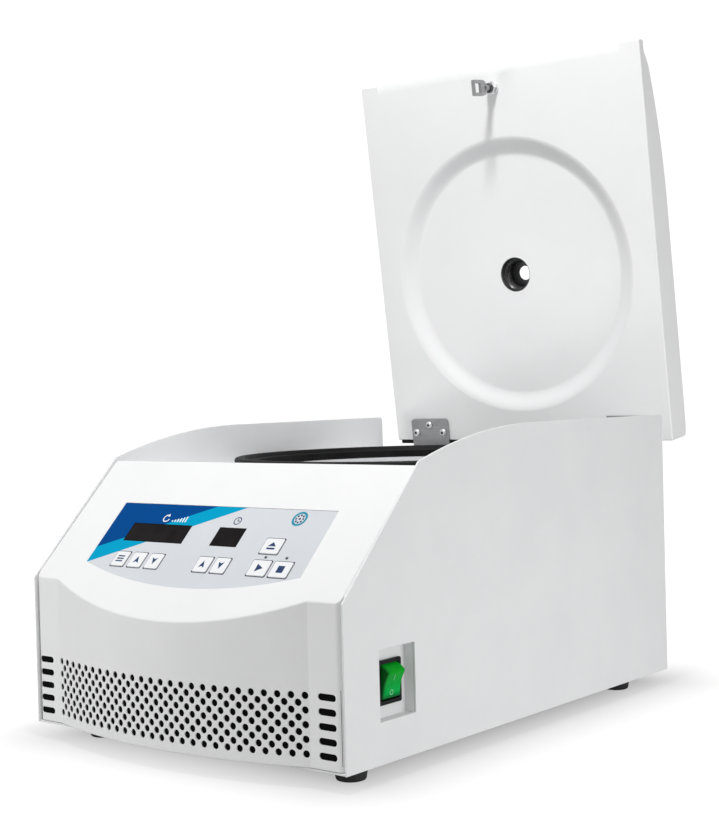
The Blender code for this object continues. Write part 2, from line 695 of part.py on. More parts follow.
def rotor():
    spin = empty("rotor_axis", (0.0, CHAMBER_Y, 0.0), parent=machine)
    shaft = [
        (0.0, 0.1600), (SHAFT_RADIUS - 0.001, 0.1600), (SHAFT_RADIUS - 0.001, 0.1500),
        (SHAFT_RADIUS, 0.1490), (SHAFT_RADIUS, 0.0305), (0.0, 0.0305),
    ]
    turned("drive_shaft", shaft, spin, (STEEL, 0.25, 1.0), 16)
    bore = SHAFT_RADIUS + 0.0004
    rim = 0.118
    shoulder = rim - (ROTOR_TOP - 0.110)
    profile = [
        (bore, 0.1500), (0.0215, 0.1500), (0.0245, ROTOR_TOP), (shoulder - 0.002, ROTOR_TOP),
        (shoulder, ROTOR_TOP - 0.0015), (rim, 0.110), (rim + 0.0005, 0.098), (rim - 0.004, 0.094),
        (0.099, 0.094), (0.053, 0.140), (0.026, 0.140), (0.022, ROTOR_BOTTOM), (bore, ROTOR_BOTTOM),
    ]
    body = turned("rotor", profile, spin, (ALUMINIUM, 0.35, 0.9))
    depth = SOCKET_DEPTH + 0.014
    helper = cylinder("socket_cutter", SOCKET_RADIUS, (0.0, 0.0, 0.0), depth, spin, steps=14)
    helper.data.transform(Matrix.Translation((0.0, 0.0, 0.014 - depth / 2)))
    helper.data.transform(Matrix.Rotation(math.radians(-45), 4, "Y"))
    helper.data.transform(Matrix.Translation((SOCKET_MOUTH, 0.0, ROTOR_TOP)))
    sockets = bmesh.new()
    for i in range(ROTOR_SOCKETS):
        turn = Matrix.Rotation(2 * math.pi * (i + 0.5) / ROTOR_SOCKETS, 4, "Z")
        copied = helper.data.copy()
        copied.transform(turn)
        sockets.from_mesh(copied)
    sockets.to_mesh(helper.data)
    sockets.free()
    boolean(body, helper)
    nut_bore = SHAFT_RADIUS - 0.0006
    nut = [
        (0.0, 0.1612), (nut_bore, 0.1612), (nut_bore, 0.1503), (0.0150, 0.1503), (0.0165, 0.1515),
        (0.0165, 0.1600), (0.0120, 0.1660), (0.0, 0.1680),
    ]
    turned("rotor_nut", nut, spin, (DARK_STEEL, 0.3, 0.8), 24)


def drive_board():
    """The power board on the base, behind the grille and beside the switch."""
    paint = ((0.05, 0.22, 0.14), 0.5)
    board = box("drive_board", (-0.120, 0.034, 0.0080), (0.030, 0.124, 0.0096), machine, paint)
    blocks = [
        ("heat_sink", (-0.110, 0.044, 0.0090), (-0.070, 0.114, 0.0360)),
        ("relay", (0.004, 0.044, 0.0090), (0.022, 0.060, 0.0250)),
        ("terminal_strip", (-0.020, 0.106, 0.0090), (0.026, 0.118, 0.0210)),
    ]
    for name, low, high in blocks:
        boolean(board, box(name, low, high, machine), "UNION")
    for i, x in enumerate((-0.050, -0.024)):
        capacitor = cylinder(f"capacitor_{i}", 0.0110, (x, 0.068, 0.0290), 0.040, machine, steps=16)
        boolean(board, capacitor, "UNION")
    for i, (x, y) in enumerate(((-0.114, 0.038), (0.024, 0.038), (-0.114, 0.120), (0.024, 0.098))):
        post = cylinder(f"board_post_{i}", 0.003, (x, y, 0.00535), 0.0071, machine, steps=8)
        boolean(board, post, "UNION")


# Lid lock

def lid_lock():
    top = DECK_TOP - DECK_THICKNESS - CLEARANCE
    y = STRIKER_Y
    low, high = (-0.0200, y - 0.0180, 0.1560), (0.0360, y + 0.0180, top)
    housing = box("lock_housing", low, high, machine, (BLACK, 0.5))
    low, high = (-0.0060, y - 0.0130, 0.1600), (0.0060, y + 0.0130, 0.2)
    boolean(housing, box("lock_throat", low, high, machine))
    z = LID_UNDERSIDE - 0.0232
    bore = box("bolt_bore", (0.0, y - 0.0040, z - 0.0024), (0.0500, y + 0.0040, z + 0.0024), machine)
    boolean(housing, bore)
    low, high = (-0.0145, -0.0036, -0.0020), (0.0145, 0.0036, 0.0020)
    bolt = box("lock_bolt", low, high, machine, (STEEL, 0.3, 1.0))
    bolt.location = (0.0215, y, z)


# Lid

def lid_profile(inset):
    """The lid's side outline, shut, from the front lower corner over the top to the rear."""
    front, rear = LID_FRONT + inset, LID_REAR - inset
    low = LID_UNDERSIDE if not inset else LID_UNDERSIDE - 0.002
    lip = LID_UNDERSIDE + LID_LIP - inset
    crown = LID_REAR - LID_CROWN
    step = LID_FRONT + LID_STEP_LENGTH + inset
    rise = LID_THICKNESS - LID_STEP_HEIGHT
    run = crown - LID_FRONT - LID_STEP_LENGTH
    radius = (run**2 + rise**2) / (2 * rise)
    start = 90 + math.degrees(math.asin((crown - step) / radius))
    top = LID_UNDERSIDE + LID_THICKNESS - inset
    outline = [(front, low)]
    if inset:
        outline += [(front, lip), (LID_FRONT + LID_LIP_LENGTH + 0.001, lip)]
    else:
        outline += [(front, lip - 0.0015), (front + 0.0015, lip), (front + LID_LIP_LENGTH, lip + 0.0003)]
    outline += arc((crown, top - radius), radius, start, 90, 8)
    outline += [(rear - 0.030, top), (rear - 0.003, top - 0.0012), (rear, top - 0.0040), (rear, low)]
    return [in_lid(y, z) for y, z in outline]


def grip_cutter():
    """The long shallow chamfer for the fingers, along the lid's front edge on its underside."""
    y, z = in_lid(LID_FRONT, LID_UNDERSIDE)
    wedge = [(y - 0.002, z - 0.002), (y + 0.010, z - 0.002), (y + 0.009, z), (y - 0.002, z + 0.0024)]
    return plate("grip_cutter", [wedge], -0.133, 0.133, "X", lid)


def lid_cover():
    half = LID_HALF_WIDTH
    cover = plate("lid_cover", [lid_profile(0.0)], -half, half, "X", lid, (SHELL_WHITE, 0.3))
    edge = cover.modifiers.new("rounded_sides", "BEVEL")
    edge.width = 0.0018
    edge.segments = 2
    edge.limit_method = "ANGLE"
    edge.angle_limit = math.radians(60)
    inside = half - LID_WALL
    boolean(cover, plate("lid_hollow", [lid_profile(LID_WALL)], -inside, inside, "X", lid))
    y, z = in_lid(CHAMBER_Y, LID_UNDERSIDE)
    hole = cylinder("cover_viewport_hole", VIEWPORT_RADIUS + CLEARANCE, (0.0, y, z), 0.08, lid, steps=24)
    boolean(cover, hole)
    lip_y, lip_z = in_lid(LID_FRONT, LID_UNDERSIDE)
    rim = box(
        "liner_seat",
        (-inside, lip_y + LID_WALL, lip_z - 0.004),
        (inside, in_lid(LID_REAR, 0)[0] - LID_WALL, lip_z + LINER + CLEARANCE),
        lid,
    )
    boolean(cover, rim)
    boolean(cover, grip_cutter())


def lid_liner():
    half = LID_HALF_WIDTH - LID_WALL - CLEARANCE
    front, low = in_lid(LID_FRONT + LID_WALL + CLEARANCE, LID_UNDERSIDE)
    rear = in_lid(LID_REAR - LID_WALL - CLEARANCE, 0.0)[0]
    liner = box("lid_liner", (-half, front, low), (half, rear, low + LINER), lid, (SHELL_WHITE, 0.35))
    y = in_lid(CHAMBER_Y, 0.0)[0]
    boss_low, boss_high = low + 0.001, low + DISH_DEPTH + LINER
    middle = (0.0, y, (boss_low + boss_high) / 2)
    height = boss_high - boss_low
    boss = cylinder("dish_boss", DISH_OUTER + 0.004, middle, height, lid, steps=ROUND_STEPS)
    boolean(liner, boss, "UNION")
    wall = DISH_OUTER - DISH_INNER
    dish = [(0.0, -0.005), (DISH_OUTER + 0.0002, -0.005), (DISH_OUTER, 0.0)]
    for share, depth in ((0.20, 0.0009), (0.45, 0.0034), (0.70, 0.0062), (0.88, 0.0076)):
        dish.append((DISH_OUTER - share * wall, depth))
    dish += [(DISH_INNER, DISH_DEPTH), (0.0, DISH_DEPTH)]
    boolean(liner, turned("dish_cutter", dish, lid, centre=(0.0, y, low)))
    hole = cylinder("liner_viewport_hole", VIEWPORT_RADIUS + CLEARANCE, (0.0, y, low), 0.06, lid, steps=28)
    boolean(liner, hole)
    stud_y = in_lid(STRIKER_Y, 0.0)[0]
    boolean(liner, cylinder("stud_hole", 0.0033, (0.0, stud_y, low), 0.02, lid, steps=12))
    for side in (-1, 1):
        for across, up in SCREW_PLACES:
            place = (side * HINGE_X + across, in_lid(LID_REAR - up, 0.0)[0], low)
            boolean(liner, cylinder("liner_screw_hole", 0.0021, place, 0.02, lid, steps=10))
    boolean(liner, grip_cutter())


def viewport():
    y, low = in_lid(CHAMBER_Y, LID_UNDERSIDE)
    floor = DISH_DEPTH - CLEARANCE
    top = LID_THICKNESS + 0.0008
    seat = VIEWPORT_BORE + 0.0018
    profile = [
        (VIEWPORT_BORE, floor - 0.002), (VIEWPORT_BORE, top - 0.003), (seat, top - 0.003), (seat, top),
        (VIEWPORT_RADIUS, top), (VIEWPORT_RADIUS, floor), (VIEWPORT_FLANGE, floor),
        (VIEWPORT_FLANGE, floor - 0.0012), (VIEWPORT_FLANGE - 0.0008, floor - 0.002),
    ]
    turned("viewport_bush", profile, lid, (BLACK, 0.45), 28, (0.0, y, low))
    middle = (0.0, y, low + top - 0.00145)
    glass = ((0.9, 0.95, 1.0), 0.05, 0.0, 0.3)
    cylinder("viewport_lens", VIEWPORT_BORE + 0.0015, middle, 0.0022, lid, glass, 32)


def striker():
    """The loop of the lid's lock, on a stud through the liner, with its washer and nut."""
    y, low = in_lid(STRIKER_Y, LID_UNDERSIDE)
    metal = (STEEL, 0.3, 1.0)
    tip = -STRIKER_REACH
    neck = tip + 0.0215
    loop = [(-0.0068, tip), (0.0068, tip), (0.0072, tip + 0.001), (0.0072, tip + 0.0130)]
    loop += arc((0.0, tip + 0.0140), 0.0070, 8, 62, 3) + arc((0.0, tip + 0.0140), 0.0070, 118, 172, 3)
    loop += [(-0.0072, tip + 0.0130), (-0.0072, tip + 0.001)]
    slot = rectangle((0.0, tip + 0.0088), 0.0084, 0.0052)
    piece = plate("striker", [loop, slot], -0.0015, 0.0015, "X", lid, metal)
    piece.location = (0.0, y, low)
    stud_top = LINER + 0.004
    stud_low = neck - 0.003
    middle = (0.0, y, low + (stud_low + stud_top) / 2)
    stud = cylinder("striker_stud", 0.0029, middle, stud_top - stud_low, lid, steps=12)
    boolean(piece, stud, "UNION")
    washer = [(0.0032, -0.0003), (0.0070, -0.0003), (0.0070, -0.0018), (0.0032, -0.0018)]
    turned("striker_washer", washer, lid, metal, 20, (0.0, y, low))
    hexagon = arc((0.0, 0.0), 0.0058, 0, 300, 5)
    bore = arc((0.0, 0.0), 0.0032, 7, 337, 11)
    nut = plate("striker_nut", [hexagon, bore], -0.0068, -0.0021, "Z", lid, metal)
    nut.location = (0.0, y, low)


def hinges():
    metal = (STEEL, 0.35, 0.9)
    under = in_lid(0.0, LID_UNDERSIDE)[1] - CLEARANCE
    front = in_lid(LID_REAR - BRACKET_REACH, 0.0)[0]
    t = BRACKET_THICKNESS
    for side, sign in (("left", -1), ("right", 1)):
        x = sign * HINGE_X
        low_x, high_x = x - BRACKET_WIDTH / 2, x + BRACKET_WIDTH / 2
        corner = 0.0035
        flat = [(low_x, t / 2), (high_x, t / 2)]
        flat += arc((high_x - corner, front + corner), corner, 0, -90, 3)
        flat += arc((low_x + corner, front + corner), corner, -90, -180, 3)
        holes = []
        for i, (across, up) in enumerate(SCREW_PLACES):
            place = (x + across, in_lid(LID_REAR - up, 0.0)[0])
            holes.append(arc(place, 0.0023, 7 * i, 7 * i + 324, 9))
        leaf = plate(f"lid_bracket_{side}", [flat] + holes, under - t, under, "Z", lid, metal)
        leg_low = (low_x + 0.0002, -t / 2, 0.0035)
        leg_high = (high_x - 0.0002, t / 2 - 0.0001, under - t / 2)
        boolean(leaf, box(f"bracket_leg_{side}", leg_low, leg_high, lid), "UNION")
        name = f"bracket_knuckle_{side}"
        length = BRACKET_WIDTH - 0.0008
        knuckle = cylinder(name, HINGE_KNUCKLE, (x, 0.0, 0.0), length, lid, steps=16, axis="X")
        boolean(leaf, knuckle, "UNION")
        for end in (-1, 1):
            gap = x + end * (KNUCKLE_LENGTH / 2 + 0.02)
            low, high = (gap - 0.02, -0.008, -0.008), (gap + 0.02, 0.008, 0.0070)
            boolean(leaf, box(f"knuckle_gap_{side}_{end}", low, high, lid))
        radius = HINGE_PIN + CLEARANCE
        bore = cylinder(f"knuckle_bore_{side}", radius, (x, 0.0, 0.0), 0.06, lid, steps=12, axis="X")
        boolean(leaf, bore)

        back = BODY_DEPTH + CLEARANCE
        base = box(
            f"hinge_base_{side}",
            (low_x, back, HINGE_Z - 0.034),
            (high_x, back + t, HINGE_Z + 0.004),
            machine,
            metal,
        )
        for end in (-1, 1):
            middle = x + end * (BRACKET_WIDTH / 2 - 0.0042)
            outline = [(back + 0.001, HINGE_Z - 0.010)]
            outline += arc((HINGE_Y, HINGE_Z), HINGE_KNUCKLE, -75, 90, 5)
            outline.append((back + 0.001, HINGE_Z + 0.0040))
            name = f"hinge_ear_{side}_{end}"
            ear = plate(name, [outline], middle - 0.0042, middle + 0.0042, "X", machine)
            boolean(base, ear, "UNION")
        place = (x, HINGE_Y, HINGE_Z)
        bore = cylinder(f"ear_bore_{side}", radius, place, 0.06, machine, steps=12, axis="X")
        boolean(base, bore)
        length = BRACKET_WIDTH + 0.002
        cylinder(f"hinge_pin_{side}", HINGE_PIN - 0.0001, place, length, machine, metal, 12, "X")

        for i, (across, up) in enumerate(SCREW_PLACES):
            head = under - t - CLEARANCE
            screw = [
                (0.0, under + 0.0040), (0.0019, under + 0.0040), (0.0019, head),
                (0.0038, head), (0.0036, head - 0.0014), (0.0022, head - 0.0021), (0.0, head - 0.0021),
            ]
            centre = (x + across, in_lid(LID_REAR - up, 0.0)[0], 0.0)
            turned(f"bracket_screw_{side}_{i + 1}", screw, lid, metal, 12, centre)


def stand_on_origin():
    """Moves the machine so that the middle of its bounding box's base is the origin."""
    bpy.context.view_layer.update()
    graph = bpy.context.evaluated_depsgraph_get()
    low, high = Vector((9, 9, 9)), Vector((-9, -9, -9))
    for obj in PARTS.objects:
        if obj.type != "MESH":
            continue
        shape = obj.evaluated_get(graph)
        for vertex in shape.data.vertices:
            point = shape.matrix_world @ vertex.co
            low = Vector(map(min, low, point))
            high = Vector(map(max, high, point))
    machine.location = (-(low.x + high.x) / 2, -(low.y + high.y) / 2, -low.z)


side_panels()
base_and_feet()
rear_panel()
front_panel()
control_panel()
control_board()
switch_pocket()
power_switch()
power_inlet()
top_deck()
chamber()
drive()
rotor()
drive_board()
lid_lock()
lid_cover()
lid_liner()
viewport()
striker()
hinges()
stand_on_origin()
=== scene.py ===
"""A bench-top clinical centrifuge with its lid standing open: the pieces and finishes that are seen.

Lengths are in metres. Pieces are drawn in the cabinet's own frame, with y = 0 at the front edge of
the side panels and z = 0 at their lower edge. CABINET carries them to the model's frame, CONSOLE
also tilts them into the control panel's plane, and LID swings the shut lid open about its hinge.
"""

import math
from contextlib import contextmanager

import bmesh
import bpy
from mathutils import Matrix, Vector


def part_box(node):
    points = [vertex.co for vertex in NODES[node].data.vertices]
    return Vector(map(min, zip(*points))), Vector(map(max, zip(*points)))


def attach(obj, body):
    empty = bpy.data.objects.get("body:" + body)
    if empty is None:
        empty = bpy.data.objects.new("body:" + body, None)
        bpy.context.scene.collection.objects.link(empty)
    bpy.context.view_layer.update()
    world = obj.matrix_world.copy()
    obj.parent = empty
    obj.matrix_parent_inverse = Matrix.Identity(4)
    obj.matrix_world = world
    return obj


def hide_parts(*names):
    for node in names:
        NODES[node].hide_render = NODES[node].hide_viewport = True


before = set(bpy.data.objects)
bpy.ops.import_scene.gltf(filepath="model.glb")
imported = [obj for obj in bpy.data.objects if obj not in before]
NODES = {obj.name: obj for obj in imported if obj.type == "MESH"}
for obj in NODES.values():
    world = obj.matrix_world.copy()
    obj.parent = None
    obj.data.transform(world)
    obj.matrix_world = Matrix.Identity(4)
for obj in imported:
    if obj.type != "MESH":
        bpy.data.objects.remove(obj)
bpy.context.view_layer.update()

# Cabinet
BODY_WIDTH = 0.310
BODY_DEPTH = 0.440
SHEET = 0.0015
MOULDING = 0.003
FRONT_HEIGHT = 0.1126
CONSOLE_DEPTH = 0.0867
CONSOLE_TOP = 0.198
DECK_TOP = 0.1885
WING_TOP = 0.2223
WING_FRONT = (0.0867, 0.2005)
WING_ARC_END = 0.230
PANEL_BOTTOM = 0.0018
PANEL_HALF_WIDTH = 0.1522
FRONT_CORNER = 0.0042

# Front bulge, its round holes and its slots
BULGE = 0.020
BULGE_HALF_WIDTH = 0.1255
BULGE_FILLET = 0.006
BULGE_X = -0.0011
HOLE_RADIUS = 0.00255
HOLE_PITCH_X = 0.0098
HOLE_PITCH_Z = 0.00975
HOLE_COLUMNS = 26
HOLE_ROWS = 5
HOLE_LOWEST = 0.0110
SLOT_PLACES = ((-0.1422, 0.0103), (0.1396, 0.0111))
SLOT_LENGTH = 0.0154
SLOT_HEIGHT = 0.0048
SLOT_PITCH = 0.0098
SLOT_COUNT = 5
GRILLE_WALL = 0.0009
GRILLE_LOW = 0.0055
GRILLE_HIGH = 0.0560

# Control panel: across, and up the slope from the bend
OVERLAY_HALF_WIDTH = 0.108
OVERLAY_TOP = 0.0775
OVERLAY_SIDE_BOTTOM = 0.0185
OVERLAY_MIDDLE_BOTTOM = 0.0015
OVERLAY_RECESS = 0.0011
OVERLAY_FACE = -0.0001
OVERLAY_GAP = 0.0003
KEY_HEIGHT = 0.0136
KEY_PROUD = 0.0006
KEY_DEPTH = 0.0042
KEY_GAP = 0.0003
INK_SUNK = 0.00005
INK_PROUD = 0.00004
KEYS = {
    "key_select": (-0.0734, 0.0232, 0.0136),
    "key_speed_up": (-0.0553, 0.0232, 0.0136),
    "key_speed_down": (-0.0372, 0.0231, 0.0136),
    "key_time_up": (0.0127, 0.0234, 0.0136),
    "key_time_down": (0.0300, 0.0235, 0.0136),
    "key_open": (0.0670, 0.0435, 0.0170),
    "key_start": (0.0668, 0.0238, 0.0170),
    "key_stop": (0.0870, 0.0238, 0.0166),
}
WINDOWS = {
    "speed_window": (-0.0530, 0.0495, 0.0620, 0.0172),
    "time_window": (0.0200, 0.0495, 0.0262, 0.0172),
}
LAMPS = ((0.0670, 0.0337), (0.0863, 0.0341))

# Coloured bands of the film, in millimetres: a line's two ends and the ink to its left
FILM_BANDS = (
    ((-108.0, 18.0), (22.0, 77.5), (0.0, 0.33, 0.55)),
    ((-108.0, 33.0), (-8.0, 77.5), (0.0, 0.062, 0.255)),
)
LINE_SOFTNESS = 0.12

# Grain scale, grain height and cloud scale of every ink
INK_GRAIN = (1500.0, 2e-6, 300.0)

# Chamber and rotor
CHAMBER_Y = 0.281
CHAMBER_RADIUS = 0.130
BOWL_WALL = 0.0015
BOWL_FLOOR = 0.074
BOWL_CORNER = 0.018
BOWL_HOLE = 0.030
BOWL_FLANGE = 0.142
BOWL_TOP = 0.1857
GASKET_INNER = 0.133
GASKET_OUTER = 0.149
GASKET_TOP = 0.1957
GASKET_FOOT = 0.1862
GASKET_FOOT_RADIUS = 0.1357
GASKET_LEDGE = 0.1888
ROTOR_TOP = 0.168
ROTOR_BOTTOM = 0.084
ROTOR_RIM = 0.118
ROTOR_RIM_TOP = 0.110
ROTOR_SOCKETS = 8
SOCKET_RADIUS = 0.00875
SOCKET_DEPTH = 0.080
SOCKET_MOUTH = 0.043
SHAFT_RADIUS = 0.005

# Lid, described shut
LID_FRONT = 0.0882
LID_LENGTH = 0.349
LID_REAR = LID_FRONT + LID_LENGTH
LID_HALF_WIDTH = 0.1524
LID_UNDERSIDE = 0.1962
LID_THICKNESS = 0.028
LID_LIP = 0.0079
LID_LIP_LENGTH = 0.0095
LID_STEP_LENGTH = 0.021
LID_STEP_HEIGHT = 0.014
LID_CROWN = 0.205
LID_OPEN_ANGLE = math.radians(82.5)
DISH_OUTER = 0.129
DISH_INNER = 0.110
DISH_DEPTH = 0.008
VIEWPORT_RADIUS = 0.0130
VIEWPORT_MOUTH = 0.0160
VIEWPORT_MOUTH_DEPTH = 0.0062
HINGE_Y = 0.4515
HINGE_Z = 0.1817
HINGE_X = 0.110
BRACKET_REACH = 0.0215
BRACKET_THICKNESS = 0.0025
SCREW_PLACES = ((-0.0160, 0.0080), (0.0, 0.0155), (0.0160, 0.0080))
STRIKER_Y = 0.1086
STRIKER_REACH = 0.032
SCREW_HEAD_RADIUS = 0.0038
SCREW_HEAD_HEIGHT = 0.0021
CUT_MARGIN = 0.0001

# Power switch in the right side panel, and feet
POCKET_Y = (0.0368, 0.0765)
POCKET_Z = (0.0284, 0.0773)
POCKET_FLOOR_X = 0.1456
SWITCH_Y = 0.0573
SWITCH_Z = 0.0524
SWITCH_WIDTH = 0.0256
SWITCH_HEIGHT = 0.0307
ROCKER_WIDTH = 0.0196
ROCKER_RADIUS = 0.0122
ROCKER_CORNER = 49.5
ROCKER_HOLLOW = 0.0066
ROCKER_TILT = math.radians(16.0)
ROCKER_X = 0.1435
FEET = {
    "foot_front_left": (-0.115, 0.032),
    "foot_front_right": (0.1305, 0.034),
    "foot_rear_left": (-0.129, 0.395),
    "foot_rear_right": (0.129, 0.395),
}
FOOT_HEIGHT = 0.012
FOOT_TOP = 0.0122
FOOT_BOTTOM = 0.0104

# Pieces are shaded smooth except where their faces meet at more than this many degrees
SHARP_ANGLE = 32.0

# Table and light, each light panel with its place, aim, power in watts and width, and the
# photograph's own view, solved from the cabinet's straight edges
TABLE_REACH = 1.1
# A shadow painted on the table round the machine: its footprint, how far it reaches and its darkest tone
SHADE_CORE = (0.125, 0.195)
SHADE_REACH = 0.15
SHADE_DARKEST = 0.42
FAR_TABLE = 0.12
BACKDROP = 1.1
AMBIENT = 0.56
PANELS = {
    "key_lamp": ((0.17, -0.33, 1.24), (0.0, 0.17, 0.52), 8.2, 0.14),
    "left_low": ((-0.62, -0.80, 0.03), (0.0, -0.25, 0.04), 3.2, 0.4),
    "right_low": ((0.95, 0.0, 0.03), (0.15, 0.0, 0.10), 4.2, 0.5),
}
CAMERA_PLACE = (0.78963, -0.76081, 0.25438)
CAMERA_TURN = math.radians(39.0)
CAMERA_LIFT = math.radians(1.147)
CAMERA_LEAN = math.radians(-1.509)
CAMERA_LENS = 66.49

# Frames

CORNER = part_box("left_side_panel")[0]
CABINET = Matrix.Translation((0.0, CORNER.y, CORNER.z))
SLOPE = math.atan2(CONSOLE_TOP - FRONT_HEIGHT, CONSOLE_DEPTH)
CONSOLE = CABINET @ Matrix.Translation((0.0, 0.0, FRONT_HEIGHT)) @ Matrix.Rotation(SLOPE, 4, "X")
HINGE = Vector((0.0, HINGE_Y, HINGE_Z))
SWING = Matrix.Translation(HINGE) @ Matrix.Rotation(-LID_OPEN_ANGLE, 4, "X") @ Matrix.Translation(-HINGE)
LID = CABINET @ SWING
ROCKER_PLACE = Vector((ROCKER_X, SWITCH_Y, SWITCH_Z))
ROCKER = CABINET @ Matrix.Translation(ROCKER_PLACE) @ Matrix.Rotation(ROCKER_TILT, 4, "Y")
ROTOR = CABINET @ Matrix.Translation((0.0, CHAMBER_Y, 0.0))
DRAWN_IN = {"base": CABINET, "lid": LID, "rotor": ROTOR, "rocker": ROCKER}
STAND = {
    "Z": Matrix.Identity(4),
    "X": Matrix(((0, 0, 1, 0), (1, 0, 0, 0), (0, 1, 0, 0), (0, 0, 0, 1))),
    "Y": Matrix(((1, 0, 0, 0), (0, 0, 1, 0), (0, -1, 0, 0), (0, 0, 0, 1))),
}


# Outlines

def arc(centre, radius, start, end, steps):
    """Points on a circle, with angles in degrees."""
    points = []
    for i in range(steps + 1):
        angle = math.radians(start + (end - start) * i / steps)
        points.append((centre[0] + radius * math.cos(angle), centre[1] + radius * math.sin(angle)))
    return points


def circle(centre, radius, steps, turn=0.0):
    return arc(centre, radius, turn, turn + 360.0 * (steps - 1) / steps, steps - 1)


def rectangle(centre, width, height, corner=0.0, steps=4):
    x, y = centre
    w, h = width / 2 - corner, height / 2 - corner
    if not corner:
        return [(x - w, y - h), (x + w, y - h), (x + w, y + h), (x - w, y + h)]
    points = []
    for sign_x, sign_y, start in ((1, -1, -90), (1, 1, 0), (-1, 1, 90), (-1, -1, 180)):
        points += arc((x + sign_x * w, y + sign_y * h), corner, start, start + 90, steps)
    return points


def ring(centre, outer, inner, steps=32):
    return [circle(centre, outer, steps), circle(centre, inner, steps, 3.0)]


def turning_arrow(centre, radius, width):
    """An open ring that ends in an arrow head."""
    def at(reach, angle):
        angle = math.radians(angle)
        return centre[0] + reach * math.cos(angle), centre[1] + reach * math.sin(angle)

    head = [at(radius + 1.6 * width, 84), at(radius, 40), at(radius - 1.6 * width, 84)]
    outer = arc(centre, radius + width / 2, 350, 84, 24)
    return outer + head + arc(centre, radius - width / 2, 84, 350, 24)


def long_slot(centre, length, height):
    reach = (length - height) / 2
    right = arc((centre[0] + reach, centre[1]), height / 2, -90, 90, 8)
    return right + arc((centre[0] - reach, centre[1]), height / 2, 90, 270, 8)


# Shapes

def put_in_scene(name, data):
    made = bpy.data.objects.new(name, data)
    bpy.context.scene.collection.objects.link(made)
    return made


@contextmanager
def editing(mesh, source=None):
    """Opens a mesh for work, filled from itself or from a source, and then turns its faces outward."""
    bm = bmesh.new()
    bm.from_mesh(source or mesh)
    yield bm
    bmesh.ops.recalc_face_normals(bm, faces=bm.faces)
    bm.to_mesh(mesh)
    bm.free()


def evaluated_mesh(obj):
    bpy.context.view_layer.update()
    graph = bpy.context.evaluated_depsgraph_get()
    return bpy.data.meshes.new_from_object(obj.evaluated_get(graph))


def mesh_of(name, data):
    """The plain mesh of a curve or a text."""
    helper = put_in_scene(name, data)
    mesh = evaluated_mesh(helper)
    bpy.data.objects.remove(helper)
    return mesh


def bake(obj):
    """Gives a piece the mesh that its modifiers make."""
    mesh = evaluated_mesh(obj)
    obj.modifiers.clear()
    obj.data = mesh
    return mesh


def plate(name, outlines, low, high, axis="Z"):
    """Flat outlines, filled and drawn out from low to high along an axis.

    The outline's two numbers are (y, z) along X, (x, z) along Y and (x, y) along Z. An outline
    inside another is a hole in it.
    """
    curve = bpy.data.curves.new(name, "CURVE")
    curve.dimensions = "2D"
    curve.fill_mode = "BOTH"
    curve.extrude = (high - low) / 2
    for outline in outlines:
        spline = curve.splines.new("POLY")
        spline.points.add(len(outline) - 1)
        for point, (across, up) in zip(spline.points, outline):
            point.co = (across, up if axis != "Y" else -up, 0.0, 1.0)
        spline.use_cyclic_u = True
    mesh = mesh_of(name, curve)
    with editing(mesh) as bm:
        bmesh.ops.remove_doubles(bm, verts=bm.verts, dist=1e-6)
        bmesh.ops.dissolve_limit(bm, angle_limit=0.002, verts=bm.verts, edges=bm.edges)
    middle = (low + high) / 2
    shift = {"X": (middle, 0, 0), "Y": (0, middle, 0), "Z": (0, 0, middle)}[axis]
    mesh.transform(Matrix.Translation(shift) @ STAND[axis])
    return put_in_scene(name, mesh)


def turned(name, profile, steps, centre=(0.0, 0.0, 0.0)):
    """A closed profile of (radius, height) points turned once round the Z axis."""
    mesh = bpy.data.meshes.new(name)
    with editing(mesh) as bm:
        levels = []
        for radius, height in profile:
            level = []
            for i in range(steps if radius else 1):
                angle = 2 * math.pi * i / steps
                x, y = radius * math.cos(angle), radius * math.sin(angle)
                level.append(bm.verts.new((centre[0] + x, centre[1] + y, centre[2] + height)))
            levels.append(level)
        for first, second in zip(levels, levels[1:] + levels[:1]):
            if len(first) == len(second) == 1:
                continue
            for i in range(steps):
                j = (i + 1) % steps
                corners = [first[i % len(first)], first[j % len(first)]]
                corners += [second[j % len(second)], second[i % len(second)]]
                bm.faces.new(list(dict.fromkeys(corners)))
    return put_in_scene(name, mesh)


def rounded_box(name, low, high, width=0.0):
    low, high = Vector(low), Vector(high)
    mesh = bpy.data.meshes.new(name)
    with editing(mesh) as bm:
        bmesh.ops.create_cube(bm, size=1.0)
        bmesh.ops.scale(bm, vec=high - low, verts=bm.verts)
        bmesh.ops.translate(bm, vec=(low + high) / 2, verts=bm.verts)
        if width:
            bmesh.ops.bevel(bm, geom=bm.edges, offset=width, segments=2, profile=0.5, affect="EDGES")
    return put_in_scene(name, mesh)


def rod(name, radius, start, end, steps):
    """A round bar from one point to another."""
    start, end = Vector(start), Vector(end)
    place = Matrix.Translation((start + end) / 2)
    place @= (end - start).to_track_quat("Z", "Y").to_matrix().to_4x4()
    size = {"radius1": radius, "radius2": radius, "depth": (end - start).length}
    mesh = bpy.data.meshes.new(name)
    with editing(mesh) as bm:
        bmesh.ops.create_cone(bm, cap_ends=True, segments=steps, matrix=place, **size)
    return put_in_scene(name, mesh)


def round_edges(obj, width, segments=3, angle=30.0):
    edge = obj.modifiers.new("rounded_edges", "BEVEL")
    edge.width = width
    edge.segments = segments
    edge.limit_method = "ANGLE"
    edge.angle_limit = math.radians(angle)
    return obj


def carve(obj, cutter, operation="DIFFERENCE"):
    """Cuts a shape out of a piece, or joins it on, and removes the shape."""
    modifier = obj.modifiers.new(operation.lower(), "BOOLEAN")
    modifier.operation = operation
    modifier.solver = "EXACT"
    modifier.object = cutter
    bake(obj)
    bpy.data.objects.remove(cutter)


